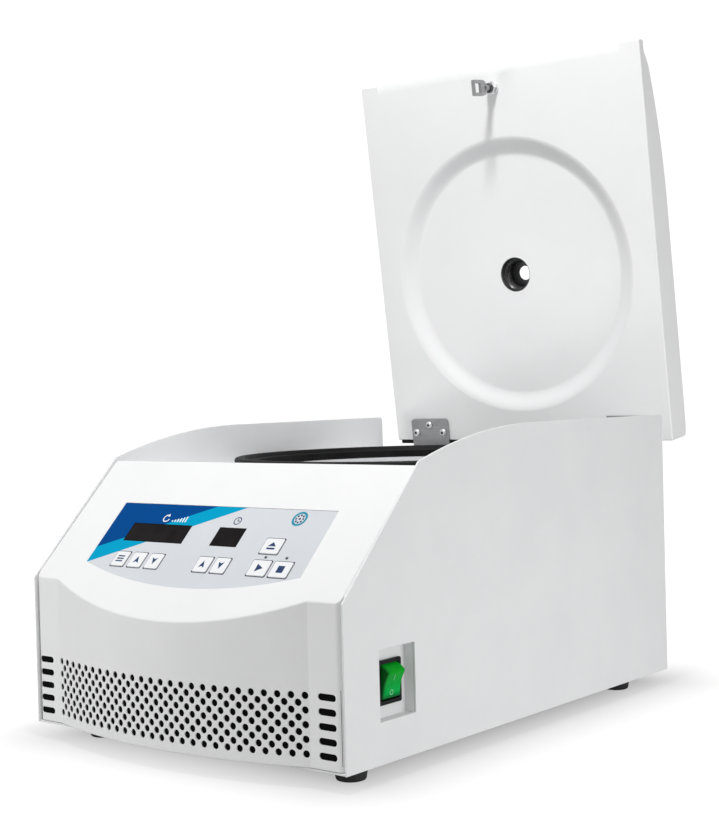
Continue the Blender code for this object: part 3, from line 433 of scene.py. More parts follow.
def settle(obj, body, finish, slot, *stands_for, place=None):
    """Bakes a finished piece into the model's frame, gives it its finish and lets it ride.

    Unless a place is given, the piece is drawn in the frame that its body's pieces share.
    """
    mesh = bake(obj)
    mesh.transform(place or DRAWN_IN.get(body, CONSOLE))
    mesh.shade_smooth()
    mesh.set_sharp_from_angle(angle=math.radians(SHARP_ANGLE))
    obj.modifiers.new("even_shading", "WEIGHTED_NORMAL").keep_sharp = True
    mesh = bake(obj)
    mesh.materials.clear()
    mesh.materials.append(finish)
    mesh.name = obj.name
    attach(obj, body)
    if stands_for:
        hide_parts(*stands_for)


def refined(node, body, finish, slot, width=0.0003):
    """A piece of the frame with its sharp edges rounded."""
    source = NODES[node].data
    mesh = bpy.data.meshes.new(f"{node}_seen")
    with editing(mesh, source) as bm:
        bmesh.ops.remove_doubles(bm, verts=bm.verts, dist=2e-6)
        bmesh.ops.dissolve_limit(bm, angle_limit=0.01, verts=bm.verts, edges=bm.edges)
    obj = round_edges(put_in_scene(f"{node}_seen", mesh), width, 2)
    settle(obj, body, finish, slot, node, place=Matrix.Identity(4))


def give(finish, *names):
    """Gives pieces of the frame their finish and leaves their shapes alone."""
    for name in names:
        NODES[name].data.materials.clear()
        NODES[name].data.materials.append(finish)


# Shader nodes

def feed(node, inputs):
    """Gives a node's inputs, by name or number, a value or another node's output."""
    for name, value in inputs.items():
        if isinstance(value, bpy.types.NodeSocket):
            node.id_data.links.new(value, node.inputs[name])
        else:
            node.inputs[name].default_value = value


def add_node(tree, kind, inputs=None, **settings):
    made = tree.nodes.new(kind)
    for name, value in settings.items():
        setattr(made, name, value)
    feed(made, inputs or {})
    return made


def calculate(tree, operation, *values):
    inputs = dict(enumerate(values))
    return add_node(tree, "ShaderNodeMath", inputs, operation=operation).outputs[0]


def grey(tone):
    return (tone, tone, tone)


def blend_colours(tree, share, first, second):
    """Mixes two colours, each given as red, green and blue or as another node's output."""
    inputs = {0: share}
    for number, colour in ((6, first), (7, second)):
        inputs[number] = (*colour, 1.0) if isinstance(colour, tuple) else colour
    return add_node(tree, "ShaderNodeMix", inputs, data_type="RGBA").outputs[2]


def spread(tree, value, low, high, new_low=0.0, new_high=1.0):
    inputs = {0: value, 1: low, 2: high, 3: new_low, 4: new_high}
    return add_node(tree, "ShaderNodeMapRange", inputs).outputs[0]


def object_place(tree):
    return tree.nodes.new("ShaderNodeTexCoord").outputs["Object"]


def split(tree, vector):
    return add_node(tree, "ShaderNodeSeparateXYZ", {0: vector}).outputs


def combine(tree, inputs):
    return add_node(tree, "ShaderNodeCombineXYZ", inputs).outputs[0]


def length_of(tree, vector):
    return add_node(tree, "ShaderNodeVectorMath", {0: vector}, operation="LENGTH").outputs["Value"]


def noise(tree, place, scale, detail, roughness):
    inputs = {"Vector": place, "Scale": scale, "Detail": detail, "Roughness": roughness}
    return add_node(tree, "ShaderNodeTexNoise", inputs).outputs[0]


def relief(tree, pattern, height):
    inputs = {"Height": calculate(tree, "MULTIPLY", pattern, height), "Distance": 1.0, "Strength": 1.0}
    return add_node(tree, "ShaderNodeBump", inputs).outputs[0]


SOCKET_OF = {float: "Float", int: "Int", tuple: "Vector"}


def new_group(name, takes, gives, kind="ShaderNodeTree"):
    """An empty node group with named inputs and outputs, and its two ends.

    An input is given by its starting value or, where it has none, by its kind of socket.
    """
    tree = bpy.data.node_groups.new(name, kind)
    for label, start in takes.items():
        what = SOCKET_OF.get(type(start), start)
        socket = tree.interface.new_socket(label, in_out="INPUT", socket_type=f"NodeSocket{what}")
        if what != start:
            socket.default_value = start
    for label, what in gives.items():
        tree.interface.new_socket(label, in_out="OUTPUT", socket_type=f"NodeSocket{what}")
    return tree, tree.nodes.new("NodeGroupInput").outputs, tree.nodes.new("NodeGroupOutput")


def grain_group():
    """Fine relief over a surface, with a slow unevenness for its tone and sheen."""
    takes = {"Grain Scale": 900.0, "Grain Height": 1e-5, "Cloud Scale": 12.0}
    gives = {"Normal": "Vector", "Cloud": "Float", "Grain": "Float"}
    tree, given, result = new_group("surface_grain", takes, gives)
    place = object_place(tree)
    grain = noise(tree, place, given["Grain Scale"], 3.0, 0.55)
    cloud = noise(tree, place, given["Cloud Scale"], 4.0, 0.6)
    feed(result, {"Normal": relief(tree, grain, given["Grain Height"]), "Cloud": cloud, "Grain": grain})
    return tree


def brushing_group():
    """Fine parallel scratches along one axis, or rings round the chamber's axis."""
    takes = {"Stretch": (1.0, 1.0, 1.0), "Rings": 0.0, "Height": 1e-5}
    tree, given, result = new_group("brushing", takes, {"Normal": "Vector", "Streaks": "Float"})
    middle = ROTOR.translation
    inputs = {0: object_place(tree), 1: (middle.x, middle.y, 0.0)}
    from_axis = add_node(tree, "ShaderNodeVectorMath", inputs, operation="SUBTRACT").outputs[0]
    x, y, z = split(tree, from_axis)
    radius = length_of(tree, combine(tree, {0: x, 1: y}))
    inputs = {0: given["Rings"], 4: from_axis, 5: combine(tree, {0: radius, 1: z})}
    chosen = add_node(tree, "ShaderNodeMix", inputs, data_type="VECTOR").outputs[1]
    inputs = {0: chosen, 1: given["Stretch"]}
    stretched = add_node(tree, "ShaderNodeVectorMath", inputs, operation="MULTIPLY").outputs[0]
    streaks = noise(tree, stretched, 1.0, 4.0, 0.7)
    feed(result, {"Normal": relief(tree, streaks, given["Height"]), "Streaks": streaks})
    return tree


def panel_place_group():
    """Where a point lies on the control panel, in millimetres across, up and out of its slope."""
    tree, _, result = new_group("panel_place", {}, {"Across": "Float", "Up": "Float", "Out": "Float"})
    inputs = {
        "Vector": object_place(tree),
        "Location": CONSOLE.translation,
        "Rotation": (SLOPE, 0.0, 0.0),
        "Scale": (0.001, 0.001, 0.001),
    }
    mapped = add_node(tree, "ShaderNodeMapping", inputs, vector_type="TEXTURE").outputs[0]
    feed(result, dict(zip(("Across", "Up", "Out"), split(tree, mapped))))
    return tree


GRAIN = grain_group()
BRUSHING = brushing_group()
PANEL_PLACE = panel_place_group()


# Finishes

def new_finish(name):
    made = bpy.data.materials.new(name)
    made.use_nodes = True
    tree = made.node_tree
    return made, tree, tree.nodes["Principled BSDF"]


def use_group(tree, group, inputs=None):
    return add_node(tree, "ShaderNodeGroup", inputs, node_tree=group).outputs


def use_grain(tree, scale, height, cloud_scale):
    inputs = {"Grain Scale": scale, "Grain Height": height, "Cloud Scale": cloud_scale}
    return use_group(tree, GRAIN, inputs)


def grained(name, colour, shade, roughness, grain_scale, grain_height, cloud_scale=14.0, sheen=0.5):
    """A painted, moulded or rubber finish: one colour and its shade, with fine grain."""
    made, tree, shader = new_finish(name)
    grain = use_grain(tree, grain_scale, grain_height, cloud_scale)
    share = spread(tree, grain["Cloud"], 0.35, 0.65)
    feed(shader, {
        "Base Color": blend_colours(tree, share, colour, shade),
        "Roughness": spread(tree, grain["Cloud"], 0.3, 0.7, *roughness),
        "Normal": grain["Normal"],
        "Specular IOR Level": sheen,
    })
    return made


def brushed(name, colour, shade, roughness, stretch, rings=0.0):
    """A metal with fine scratches along one axis or in rings."""
    made, tree, shader = new_finish(name)
    brushing = use_group(tree, BRUSHING, {"Stretch": stretch, "Rings": rings, "Height": 8e-6})
    streaks = brushing["Streaks"]
    feed(shader, {
        "Base Color": blend_colours(tree, spread(tree, streaks, 0.3, 0.7), colour, shade),
        "Roughness": spread(tree, streaks, 0.3, 0.7, *roughness),
        "Normal": brushing["Normal"],
        "Metallic": 1.0,
    })
    return made


def side_of_line(tree, place, start, end):
    """A mask that is 1 to the left of the line from start to end, on the control panel."""
    run, rise = end[0] - start[0], end[1] - start[1]
    length = math.hypot(run, rise) * LINE_SOFTNESS
    a, b = -rise / length, run / length
    offset = 0.5 - a * start[0] - b * start[1]
    first = calculate(tree, "MULTIPLY_ADD", place["Across"], a, offset)
    made = calculate(tree, "MULTIPLY_ADD", place["Up"], b, first)
    made.node.use_clamp = True
    return made


def printed_film():
    """The keypad's printed film: pale grey with a navy corner and teal bands beside it, and painted shade on
    its cut edges below the face.
    """
    made, tree, shader = new_finish("printed_film")
    place = use_group(tree, PANEL_PLACE)
    grain = use_grain(tree, 2200.0, 3e-6, 20.0)
    share = spread(tree, grain["Cloud"], 0.35, 0.65)
    colour = blend_colours(tree, share, (0.63, 0.65, 0.68), (0.65, 0.67, 0.70))
    for start, end, ink in FILM_BANDS:
        colour = blend_colours(tree, side_of_line(tree, place, start, end), colour, ink)
    # Painted shade: the film's sides and the walls of its holes, more than about 0.2 mm under the panel's
    # plane, are dark
    painted_edge_shade = spread(tree, place["Out"], -0.24, -0.16, 1.0, 0.0)
    feed(shader, {
        "Base Color": blend_colours(tree, painted_edge_shade, colour, (0.03, 0.03, 0.035)),
        "Roughness": spread(tree, grain["Cloud"], 0.3, 0.7, 0.34, 0.42),
        "Normal": grain["Normal"],
        "Specular IOR Level": 0.02,
    })
    return made


def green_rocker():
    """Clear green plastic with a lamp behind it, bluer towards its lower end, with painted shade at its side
    and its foot.
    """
    made, tree, shader = new_finish("green_rocker")
    grain = use_grain(tree, 500.0, 4e-6, 180.0)
    _, y, z = split(tree, object_place(tree))
    _, middle_y, middle_z = ROCKER.translation
    share = spread(tree, z, middle_z - 0.010, middle_z + 0.008)
    colour = blend_colours(tree, share, (0.0, 0.36, 0.065), (0.0, 0.28, 0.008))
    uneven = spread(tree, grain["Cloud"], 0.35, 0.7, 0.0, 0.4)
    colour = blend_colours(tree, uneven, colour, (0.0, 0.16, 0.03))
    # Painted shade at the side and the foot of the face, where the housing's well shades the rocker
    side_shade = spread(tree, y, middle_y - 0.0095, middle_y - 0.0062, 0.8, 0.0)
    foot_shade = spread(tree, z, middle_z - 0.0112, middle_z - 0.0072, 0.85, 0.0)
    unlit = calculate(tree, "MAXIMUM", side_shade, foot_shade)
    colour = blend_colours(tree, unlit, colour, (0.0, 0.012, 0.003))
    feed(shader, {
        "Base Color": colour,
        "Emission Color": colour,
        "Emission Strength": 0.25,
        "Roughness": spread(tree, grain["Cloud"], 0.3, 0.7, 0.12, 0.22),
        "Normal": grain["Normal"],
        "Specular IOR Level": 0.05,
        "Coat Weight": 0.02,
    })
    return made


def clear_lens():
    made, tree, shader = new_finish("clear_lens")
    grain = use_grain(tree, 60.0, 1e-6, 40.0)
    feed(shader, {
        "Base Color": blend_colours(tree, grain["Cloud"], (0.97, 0.99, 1.0), grey(1.0)),
        "Roughness": spread(tree, grain["Grain"], 0.3, 0.7, 0.0, 0.03),
        "Transmission Weight": 1.0,
        "IOR": 1.2,
    })
    return made


def circuit_board():
    """Green lacquer over copper tracks, with tinned pads."""
    made, tree, shader = new_finish("circuit_board")
    place = object_place(tree)
    inputs = {"Vector": place, "Scale": 240.0, "Randomness": 0.4}
    cells = add_node(tree, "ShaderNodeTexVoronoi", inputs, distance="MANHATTAN", feature="DISTANCE_TO_EDGE")
    pads = add_node(tree, "ShaderNodeTexVoronoi", {"Vector": place, "Scale": 320.0, "Randomness": 0.2})
    track = spread(tree, cells.outputs[0], 0.02, 0.08, 1.0, 0.0)
    pad = spread(tree, pads.outputs[0], 0.12, 0.16, 1.0, 0.0)
    colour = blend_colours(tree, track, (0.01, 0.13, 0.05), (0.03, 0.25, 0.09))
    feed(shader, {
        "Base Color": blend_colours(tree, pad, colour, (0.6, 0.6, 0.56)),
        "Roughness": spread(tree, pad, 0.0, 1.0, 0.45, 0.3),
        "Metallic": spread(tree, pad, 0.0, 1.0, 0.0, 0.9),
    })
    return made


SHEET_PAINT = grained("sheet_paint", (0.83, 0.835, 0.84), (0.80, 0.805, 0.812), (0.40, 0.48), 700.0, 4e-6)
MOULDED_WHITE = grained(
    "moulded_white", (0.86, 0.862, 0.865), (0.835, 0.838, 0.842), (0.48, 0.56), 1100.0, 3e-6
)
LID_WHITE = grained(
    "lid_white", (0.87, 0.872, 0.875), (0.845, 0.848, 0.852), (0.30, 0.38), 1000.0, 3e-6, 9.0
)
BOWL_WHITE = grained("bowl_white", (0.84, 0.845, 0.85), (0.80, 0.805, 0.81), (0.28, 0.36), 800.0, 6e-6)
KEY_WHITE = grained("key_white", (0.86, 0.87, 0.88), (0.83, 0.84, 0.86), (0.38, 0.48), 1500.0, 4e-6, 60.0)
RUBBER = grained(
    "black_rubber", (0.018, 0.018, 0.019), (0.030, 0.030, 0.031), (0.62, 0.80), 1400.0, 2e-5, 60.0
)
SEAL_RUBBER = grained("seal_rubber", grey(0.004), grey(0.009), (0.50, 0.62), 900.0, 1e-5, 40.0, 0.15)
BLACK_PLASTIC = grained(
    "black_plastic", (0.004, 0.004, 0.005), (0.009, 0.009, 0.010), (0.36, 0.46), 1200.0, 1e-5, sheen=0.2
)
BUSH_BLACK = grained("bush_black", grey(0.026), grey(0.042), (0.26, 0.36), 900.0, 4e-6, 200.0, 0.6)
# Near-black sheet that stands for the shade inside the cabinet behind the holes
HOLE_SHADE_SHEET = grained("filter_foam", grey(0.001), grey(0.004), (0.9, 1.0), 900.0, 2e-4, 300.0, 0.1)
SIGN_INK = grained("sign_ink", (0.001, 0.025, 0.11), (0.001, 0.045, 0.13), (0.45, 0.55), *INK_GRAIN)
TEAL_INK = grained("teal_ink", (0.0, 0.24, 0.36), (0.0, 0.28, 0.40), (0.45, 0.55), *INK_GRAIN)
# Dark ink for the painted shade of the gaps round the keys
KEY_SHADE_INK = grained("line_ink", (0.05, 0.06, 0.10), (0.08, 0.09, 0.13), (0.45, 0.55), *INK_GRAIN)
PALE_INK = grained("pale_ink", (0.28, 0.72, 0.42), (0.20, 0.62, 0.32), (0.40, 0.50), *INK_GRAIN)
LAMP_DARK = grained("lamp_dark", (0.05, 0.07, 0.07), (0.08, 0.09, 0.09), (0.15, 0.22), 600.0, 2e-6, 300.0)
MOTOR_PAINT = grained("motor_paint", (0.06, 0.062, 0.066), (0.09, 0.092, 0.096), (0.40, 0.55), 800.0, 2e-5)
WINDOW = grained(
    "smoked_window", (0.008, 0.007, 0.007), (0.014, 0.012, 0.012), (0.16, 0.24), 400.0, 1e-6, 60.0, 0.04
)
ZINC = brushed("zinc_plate", (0.45, 0.45, 0.455), (0.36, 0.36, 0.365), (0.42, 0.55), (60.0, 900.0, 900.0))
STEEL = brushed("bright_steel", (0.60, 0.60, 0.61), (0.48, 0.48, 0.49), (0.20, 0.34), (700.0, 700.0, 90.0))
NICKEL = brushed("bright_nickel", (0.90, 0.90, 0.91), (0.80, 0.80, 0.81), (0.38, 0.48), (700.0, 700.0, 90.0))
ALUMINIUM = brushed(
    "aluminium", (0.70, 0.71, 0.73), (0.58, 0.59, 0.61), (0.26, 0.38), (1600.0, 1600.0, 1.0), 1.0
)
FILM = printed_film()
GREEN = green_rocker()
LENS = clear_lens()
BOARD = circuit_board()


# Geometry node trees

def place_copies(tree, inputs, given, result, turn=(0.0, 0.0, 0.0)):
    """Puts a shape on points, makes the copies real, turns them and gives them their finish."""
    placed = add_node(tree, "GeometryNodeInstanceOnPoints", inputs).outputs[0]
    solid = add_node(tree, "GeometryNodeRealizeInstances", {0: placed}).outputs[0]
    inputs = {"Geometry": solid, "Rotation": turn}
    inputs = {
        "Geometry": add_node(tree, "GeometryNodeTransform", inputs).outputs[0],
        "Material": given["Finish"],
    }
    feed(result, {"Geometry": add_node(tree, "GeometryNodeSetMaterial", inputs).outputs[0]})
    return tree


def new_shape_tree(name, takes):
    return new_group(name, {**takes, "Finish": "Material"}, {"Geometry": "Geometry"}, "GeometryNodeTree")


def perforation_tree():
    """Round pins in staggered rows, standing along Y, that punch the front's holes."""
    takes = {"Radius": 0.002, "Length": 0.03, "Columns": 26, "Rows": 5}
    takes.update({"Pitch Across": 0.01, "Pitch Up": 0.01})
    tree, given, result = new_shape_tree("perforations", takes)
    both = tree.nodes.new("GeometryNodeJoinGeometry")
    for fewer in (1, 0):
        inputs = {}
        for axis, count, pitch in (("X", "Columns", "Pitch Across"), ("Y", "Rows", "Pitch Up")):
            number = calculate(tree, "SUBTRACT", given[count], fewer)
            gaps = calculate(tree, "SUBTRACT", number, 1.0)
            inputs[f"Size {axis}"] = calculate(tree, "MULTIPLY", gaps, given[pitch])
            inputs[f"Vertices {axis}"] = number
        tree.links.new(add_node(tree, "GeometryNodeMeshGrid", inputs).outputs[0], both.inputs[0])
    inputs = {"Vertices": 16, "Radius": given["Radius"], "Depth": given["Length"]}
    pin = add_node(tree, "GeometryNodeMeshCylinder", inputs).outputs[0]
    inputs = {"Points": both.outputs[0], "Instance": pin}
    return place_copies(tree, inputs, given, result, (math.pi / 2, 0.0, 0.0))


def copies_tree():
    """One shape copied to each point of the mesh it is put on."""
    tree, given, result = new_shape_tree("copies_on_points", {"Points": "Geometry", "Shape": "Object"})
    shape = add_node(tree, "GeometryNodeObjectInfo", {"Object": given["Shape"]}).outputs["Geometry"]
    return place_copies(tree, {"Points": given["Points"], "Instance": shape}, given, result)


def ring_tree():
    """One shape copied evenly round the Z axis."""
    takes = {"Shape": "Object", "Count": 8, "Start": 0.0}
    tree, given, result = new_shape_tree("copies_in_a_ring", takes)
    shape = add_node(tree, "GeometryNodeObjectInfo", {"Object": given["Shape"]}).outputs["Geometry"]
    inputs = {"Count": given["Count"], "Start Location": (0.0, 0.0, 0.0), "Offset": (0.0, 0.0, 0.0)}
    points = add_node(tree, "GeometryNodeMeshLine", inputs).outputs[0]
    number = tree.nodes.new("GeometryNodeInputIndex").outputs[0]
    share = calculate(tree, "DIVIDE", number, given["Count"])
    angle = calculate(tree, "MULTIPLY_ADD", share, 2 * math.pi, given["Start"])
    inputs = {"Points": points, "Instance": shape, "Rotation": combine(tree, {2: angle})}
    return place_copies(tree, inputs, given, result)


PERFORATIONS = perforation_tree()
COPIES = copies_tree()
RING = ring_tree()


def grown(name, tree, values, points=()):
    """The plain mesh that a geometry tree makes from its named values."""
    mesh = bpy.data.meshes.new(name)
    mesh.from_pydata([tuple(point) for point in points], [], [])
    made = put_in_scene(name, mesh)
    modifier = made.modifiers.new("grown", "NODES")
    modifier.node_group = tree
    for item in tree.interface.items_tree:
        if item.in_out == "INPUT" and item.name in values:
            modifier[item.identifier] = values[item.name]
    with editing(bake(made)) as bm:
        bmesh.ops.remove_doubles(bm, verts=bm.verts, dist=1e-7)
    return made


def copied(name, tree, shape, values, points=()):
    """A shape copied to points or round an axis, as one piece."""
    made = grown(name, tree, {"Shape": shape, **values}, points)
    bpy.data.objects.remove(shape)
    return made


# Cabinet

def side_outline():
    rise = WING_TOP - WING_FRONT[1]
    run = WING_ARC_END - WING_FRONT[0]
    radius = (run**2 + rise**2) / (2 * rise)
    start = 90 + math.degrees(math.asin(run / radius))
    wing = arc((WING_ARC_END, WING_TOP - radius), radius, start, 90, 40)
    rear_corner = arc((BODY_DEPTH - 0.004, WING_TOP - 0.0045), 0.004, 90, 0, 6)
    return [(0.0, 0.0), (0.0, FRONT_HEIGHT)] + wing + rear_corner + [(BODY_DEPTH, 0.0)]


def make_side_panels():
    outer = BODY_WIDTH / 2
    centre = (sum(POCKET_Y) / 2, sum(POCKET_Z) / 2)
    pocket = rectangle(centre, POCKET_Y[1] - POCKET_Y[0], POCKET_Z[1] - POCKET_Z[0], 0.0006, 2)
    left = plate("left_side", [side_outline()], -outer, SHEET - outer, "X")
    right = plate("right_side", [side_outline(), pocket], outer - SHEET, outer, "X")
    for panel in (left, right):
        settle(round_edges(panel, 0.0007), "base", SHEET_PAINT, "white_sheet", f"{panel.name}_panel")


def front_plan(inset):
    """The front moulding's outline seen from above, from its rear right corner to its rear left."""
    bulge_radius = (BULGE_HALF_WIDTH**2 + BULGE**2) / (2 * BULGE)
    bulge_centre = bulge_radius - BULGE
    reach = bulge_radius + BULGE_FILLET
    fillet_x = math.sqrt(reach**2 - (bulge_centre + BULGE_FILLET) ** 2)
    sweep = math.degrees(math.atan2(fillet_x, bulge_centre + BULGE_FILLET))
    half = arc((fillet_x, -BULGE_FILLET), BULGE_FILLET + inset, 90, 90 + sweep, 8)
    half += arc((0.0, bulge_centre), bulge_radius - inset, sweep - 90, -90, 30)[1:]
    face = [(BULGE_X + x, y) for x, y in half]
    face += [(BULGE_X - x, y) for x, y in reversed(half[:-1])]
    if inset:
        wide = PANEL_HALF_WIDTH + 0.003
        side = [(wide, CONSOLE_DEPTH - inset), (wide, 0.020), (PANEL_HALF_WIDTH - inset, 0.020)]
        side.append((PANEL_HALF_WIDTH - inset, inset))
    else:
        corner = (PANEL_HALF_WIDTH - FRONT_CORNER, FRONT_CORNER + 0.0002)
        side = [(PANEL_HALF_WIDTH, CONSOLE_DEPTH)] + arc(corner, FRONT_CORNER, 0, -90, 6)
    return side + face + [(-x, y) for x, y in reversed(side)]


def front_form(name, inset, low):
    """The front moulding's outer form, or with an inset the space inside it."""
    obj = plate(name, [front_plan(inset)], low, CONSOLE_TOP + 0.02)
    normal = Vector((0.0, -math.sin(SLOPE), math.cos(SLOPE)))
    bend = Vector((0.0, 0.0, FRONT_HEIGHT)) - normal * inset
    with editing(obj.data) as bm:
        parts = bm.verts[:] + bm.edges[:] + bm.faces[:]
        cut = bmesh.ops.bisect_plane(bm, geom=parts, plane_co=bend, plane_no=normal, clear_outer=True)
        edges = [item for item in cut["geom_cut"] if isinstance(item, bmesh.types.BMEdge)]
        bmesh.ops.holes_fill(bm, edges=edges)
    return obj


def overlay_outline(margin=0.0):
    drop = OVERLAY_SIDE_BOTTOM - OVERLAY_MIDDLE_BOTTOM
    radius = (OVERLAY_HALF_WIDTH**2 + drop**2) / (2 * drop)
    sweep = math.degrees(math.asin(OVERLAY_HALF_WIDTH / radius))
    bottom = arc((0.0, OVERLAY_MIDDLE_BOTTOM + radius), radius + margin, -90 - sweep, -90 + sweep, 48)
    corner = 0.0006
    x, y = OVERLAY_HALF_WIDTH - corner, OVERLAY_TOP - corner
    right = arc((x, y), corner + margin, 0, 90, 3)
    left = arc((-x, y), corner + margin, 90, 180, 3)
    return bottom + right + left


def key_outline(key, margin):
    x, y, width = KEYS[key]
    return rectangle((x, y), width + 2 * margin, KEY_HEIGHT + 2 * margin, 0.0012, 3)


def well_outlines():
    wells = [key_outline(key, KEY_GAP) for key in KEYS]
    for x, y, width, height in WINDOWS.values():
        wells.append(rectangle((x, y), width + 0.0004, height + 0.0004))
    return wells


def in_console(obj):
    """Tilts a cutter drawn flat into the control panel's plane of the cabinet."""
    obj.data.transform(CABINET.inverted() @ CONSOLE)
    return obj


def make_front():
    panel = round_edges(front_form("front_moulding", 0.0, PANEL_BOTTOM), 0.0009)
    carve(panel, front_form("front_space", MOULDING, -0.010))
    low, high = (-0.2, CONSOLE_DEPTH - MOULDING - 0.01, -0.02), (0.2, 0.2, DECK_TOP - 0.004)
    carve(panel, rounded_box("rear_space", low, high))
    thin = front_form("thin_field", GRILLE_WALL, -0.010)
    low, high = (-0.1495, -0.05, GRILLE_LOW), (0.1495, 0.012, GRILLE_HIGH)
    carve(thin, rounded_box("thin_field_bounds", low, high), "INTERSECT")
    carve(panel, thin)
    values = {
        "Radius": HOLE_RADIUS,
        "Length": 0.032,
        "Pitch Across": HOLE_PITCH_X,
        "Pitch Up": HOLE_PITCH_Z,
        "Columns": HOLE_COLUMNS,
        "Rows": HOLE_ROWS,
        "Finish": MOULDED_WHITE,
    }
    pins = grown("hole_pins", PERFORATIONS, values)
    middle = HOLE_LOWEST + (HOLE_ROWS - 1) * HOLE_PITCH_Z / 2
    pins.data.transform(Matrix.Translation((BULGE_X, -0.010, middle)))
    carve(panel, pins)
    rows = [(x, lowest + i * SLOT_PITCH) for x, lowest in SLOT_PLACES for i in range(SLOT_COUNT)]
    slots = [long_slot(place, SLOT_LENGTH, SLOT_HEIGHT) for place in rows]
    carve(panel, plate("slot_cutter", slots, -0.010, 0.008, "Y"))
    opening = [(x, y + OVERLAY_GAP if y > OVERLAY_TOP - 0.001 else y) for x, y in overlay_outline(0.00004)]
    recess = plate("film_recess", [opening], -OVERLAY_RECESS, 0.01)
    carve(panel, in_console(recess))
    carve(panel, in_console(plate("wells", well_outlines(), -0.012, 0.008)))
    settle(panel, "base", MOULDED_WHITE, "white_moulding", "front_panel")
    inner, outer = PANEL_HALF_WIDTH - 0.0006, PANEL_HALF_WIDTH + 0.0010
    lip = [(0.0060, -0.0026), (0.1180, -0.0026), (0.1180, -0.0006), (0.0060, -0.0006)]
    for name, start, end in (("left", -outer, -inner), ("right", inner, outer)):
        edge = in_console(plate(f"slope_lip_{name}", [lip], start, end, "X"))
        settle(round_edges(edge, 0.0003, 2), "base", MOULDED_WHITE, "white_moulding")
    # A black sheet behind the thinned field, painted shade for the dark inside of the cabinet seen through
    # the holes
    near = front_plan(GRILLE_WALL + 0.0003)[3:-3]
    far = front_plan(GRILLE_WALL + 0.0015)[3:-3]
    pad = plate("dust_filter", [near + far[::-1]], GRILLE_LOW + 0.0003, GRILLE_HIGH - 0.0003)
    settle(pad, "base", HOLE_SHADE_SHEET, "dark")


# Control panel

def sign_outlines(key):
    """The plain sign printed on a key."""
    if key.endswith("_up"):
        return [[(0.0, 0.0033), (-0.0028, -0.0031), (0.0, -0.0017), (0.0028, -0.0031)]]
    if key.endswith("_down"):
        return [[(0.0, -0.0033), (0.0028, 0.0031), (0.0, 0.0017), (-0.0028, 0.0031)]]
    if key == "key_select":
        return [rectangle((0.0, y), 0.0072, 0.0012) for y in (-0.0023, 0.0, 0.0023)]
    if key == "key_open":
        triangle = [(-0.0038, -0.0004), (0.0038, -0.0004), (0.0, 0.0034)]
        return [triangle, rectangle((0.0, -0.0024), 0.0076, 0.0016)]
    if key == "key_start":
        return [[(-0.0024, -0.0034), (0.0038, 0.0), (-0.0024, 0.0034)]]
    return [rectangle((0.0, 0.0), 0.0060, 0.0060)]


def inked(name, outlines, face):
    """A layer of ink on a flat face, a trace proud of it."""
    return plate(name, outlines, face - INK_SUNK, face + INK_PROUD)


def printed(name, outlines, ink):
    """Ink on the keypad film."""
    settle(inked(name, outlines, OVERLAY_FACE), "base", ink, "label", place=CONSOLE)


def make_control_panel():
    film = plate("keypad_film", [overlay_outline()] + well_outlines(), 0.0003 - OVERLAY_RECESS, OVERLAY_FACE)
    settle(round_edges(film, 0.0001, 1), "base", FILM, "label", "keypad_overlay", place=CONSOLE)
    for name, (x, y, width, height) in WINDOWS.items():
        low = (x - width / 2, y - height / 2, -0.0035)
        high = (x + width / 2, y + height / 2, OVERLAY_FACE - 0.0002)
        pane = rounded_box(f"{name}_pane", low, high, 0.0002)
        settle(pane, "base", WINDOW, "window", name, place=CONSOLE)
    for name, (x, y, width) in KEYS.items():
        low, high = KEY_PROUD - KEY_DEPTH, KEY_PROUD
        cap = plate(f"{name}_cap", [rectangle((x, y), width, KEY_HEIGHT, 0.0013, 5)], low, high)
        settle(round_edges(cap, 0.0004), name, KEY_WHITE, "key", name)
        outlines = [[(x + a, y + b) for a, b in outline] for outline in sign_outlines(name)]
        settle(inked(f"{name}_sign", outlines, KEY_PROUD), name, SIGN_INK, "key")
    dome = [(0.0, -0.0006), (0.0011, -0.0006), (0.0011, 0.0002)]
    dome += [(0.0009, 0.0004), (0.0005, 0.0006), (0.0, 0.0007)]
    for i, (x, y) in enumerate(LAMPS):
        lamp = turned(f"indicator_{i + 1}", dome, 20, (x, y, 0.0))
        settle(lamp, "base", LAMP_DARK, "window", place=CONSOLE)
    # Painted shade: a dark line round each key, where the gap round the key would shade the film
    gap_shade_outlines = [key_outline(key, margin) for key in KEYS for margin in (KEY_GAP, KEY_GAP + 0.0005)]
    printed("key_frames", gap_shade_outlines, KEY_SHADE_INK)
    speed_mark = [turning_arrow((-0.0530, 0.0640), 0.0031, 0.0010)]
    for i in range(6):
        speed_mark.append(rectangle((-0.0455 + 0.0027 * i, 0.0617 + 0.0004 * i), 0.0013, 0.0014 + 0.0008 * i))
    printed("speed_mark", speed_mark, KEY_WHITE)
    hand = [(0.0197, 0.0643), (0.0219, 0.0643), (0.0219, 0.0650), (0.0204, 0.0650)]
    hand += [(0.0204, 0.0668), (0.0197, 0.0668)]
    printed("time_mark", [*ring((0.020, 0.0648), 0.0036, 0.0028), hand], SIGN_INK)
    middle = (0.0770, 0.0693)
    printed("rotor_mark_rim", ring(middle, 0.0066, 0.0047, 48), TEAL_INK)
    dots = [circle(middle, 0.0010, 16)]
    dots += [circle(place, 0.0009, 12) for place in circle(middle, 0.0033, ROTOR_SOCKETS)]
    printed("rotor_mark_places", dots, SIGN_INK)


# Power switch

def rocker_face(y):
    """How far the rocker's hollow face stands out from its axis, at a distance y from the middle."""
    angle = math.radians(ROCKER_CORNER)
    rise = ROCKER_RADIUS * math.cos(angle) - ROCKER_HOLLOW
    return ROCKER_HOLLOW + rise * (y / (ROCKER_RADIUS * math.sin(angle))) ** 2


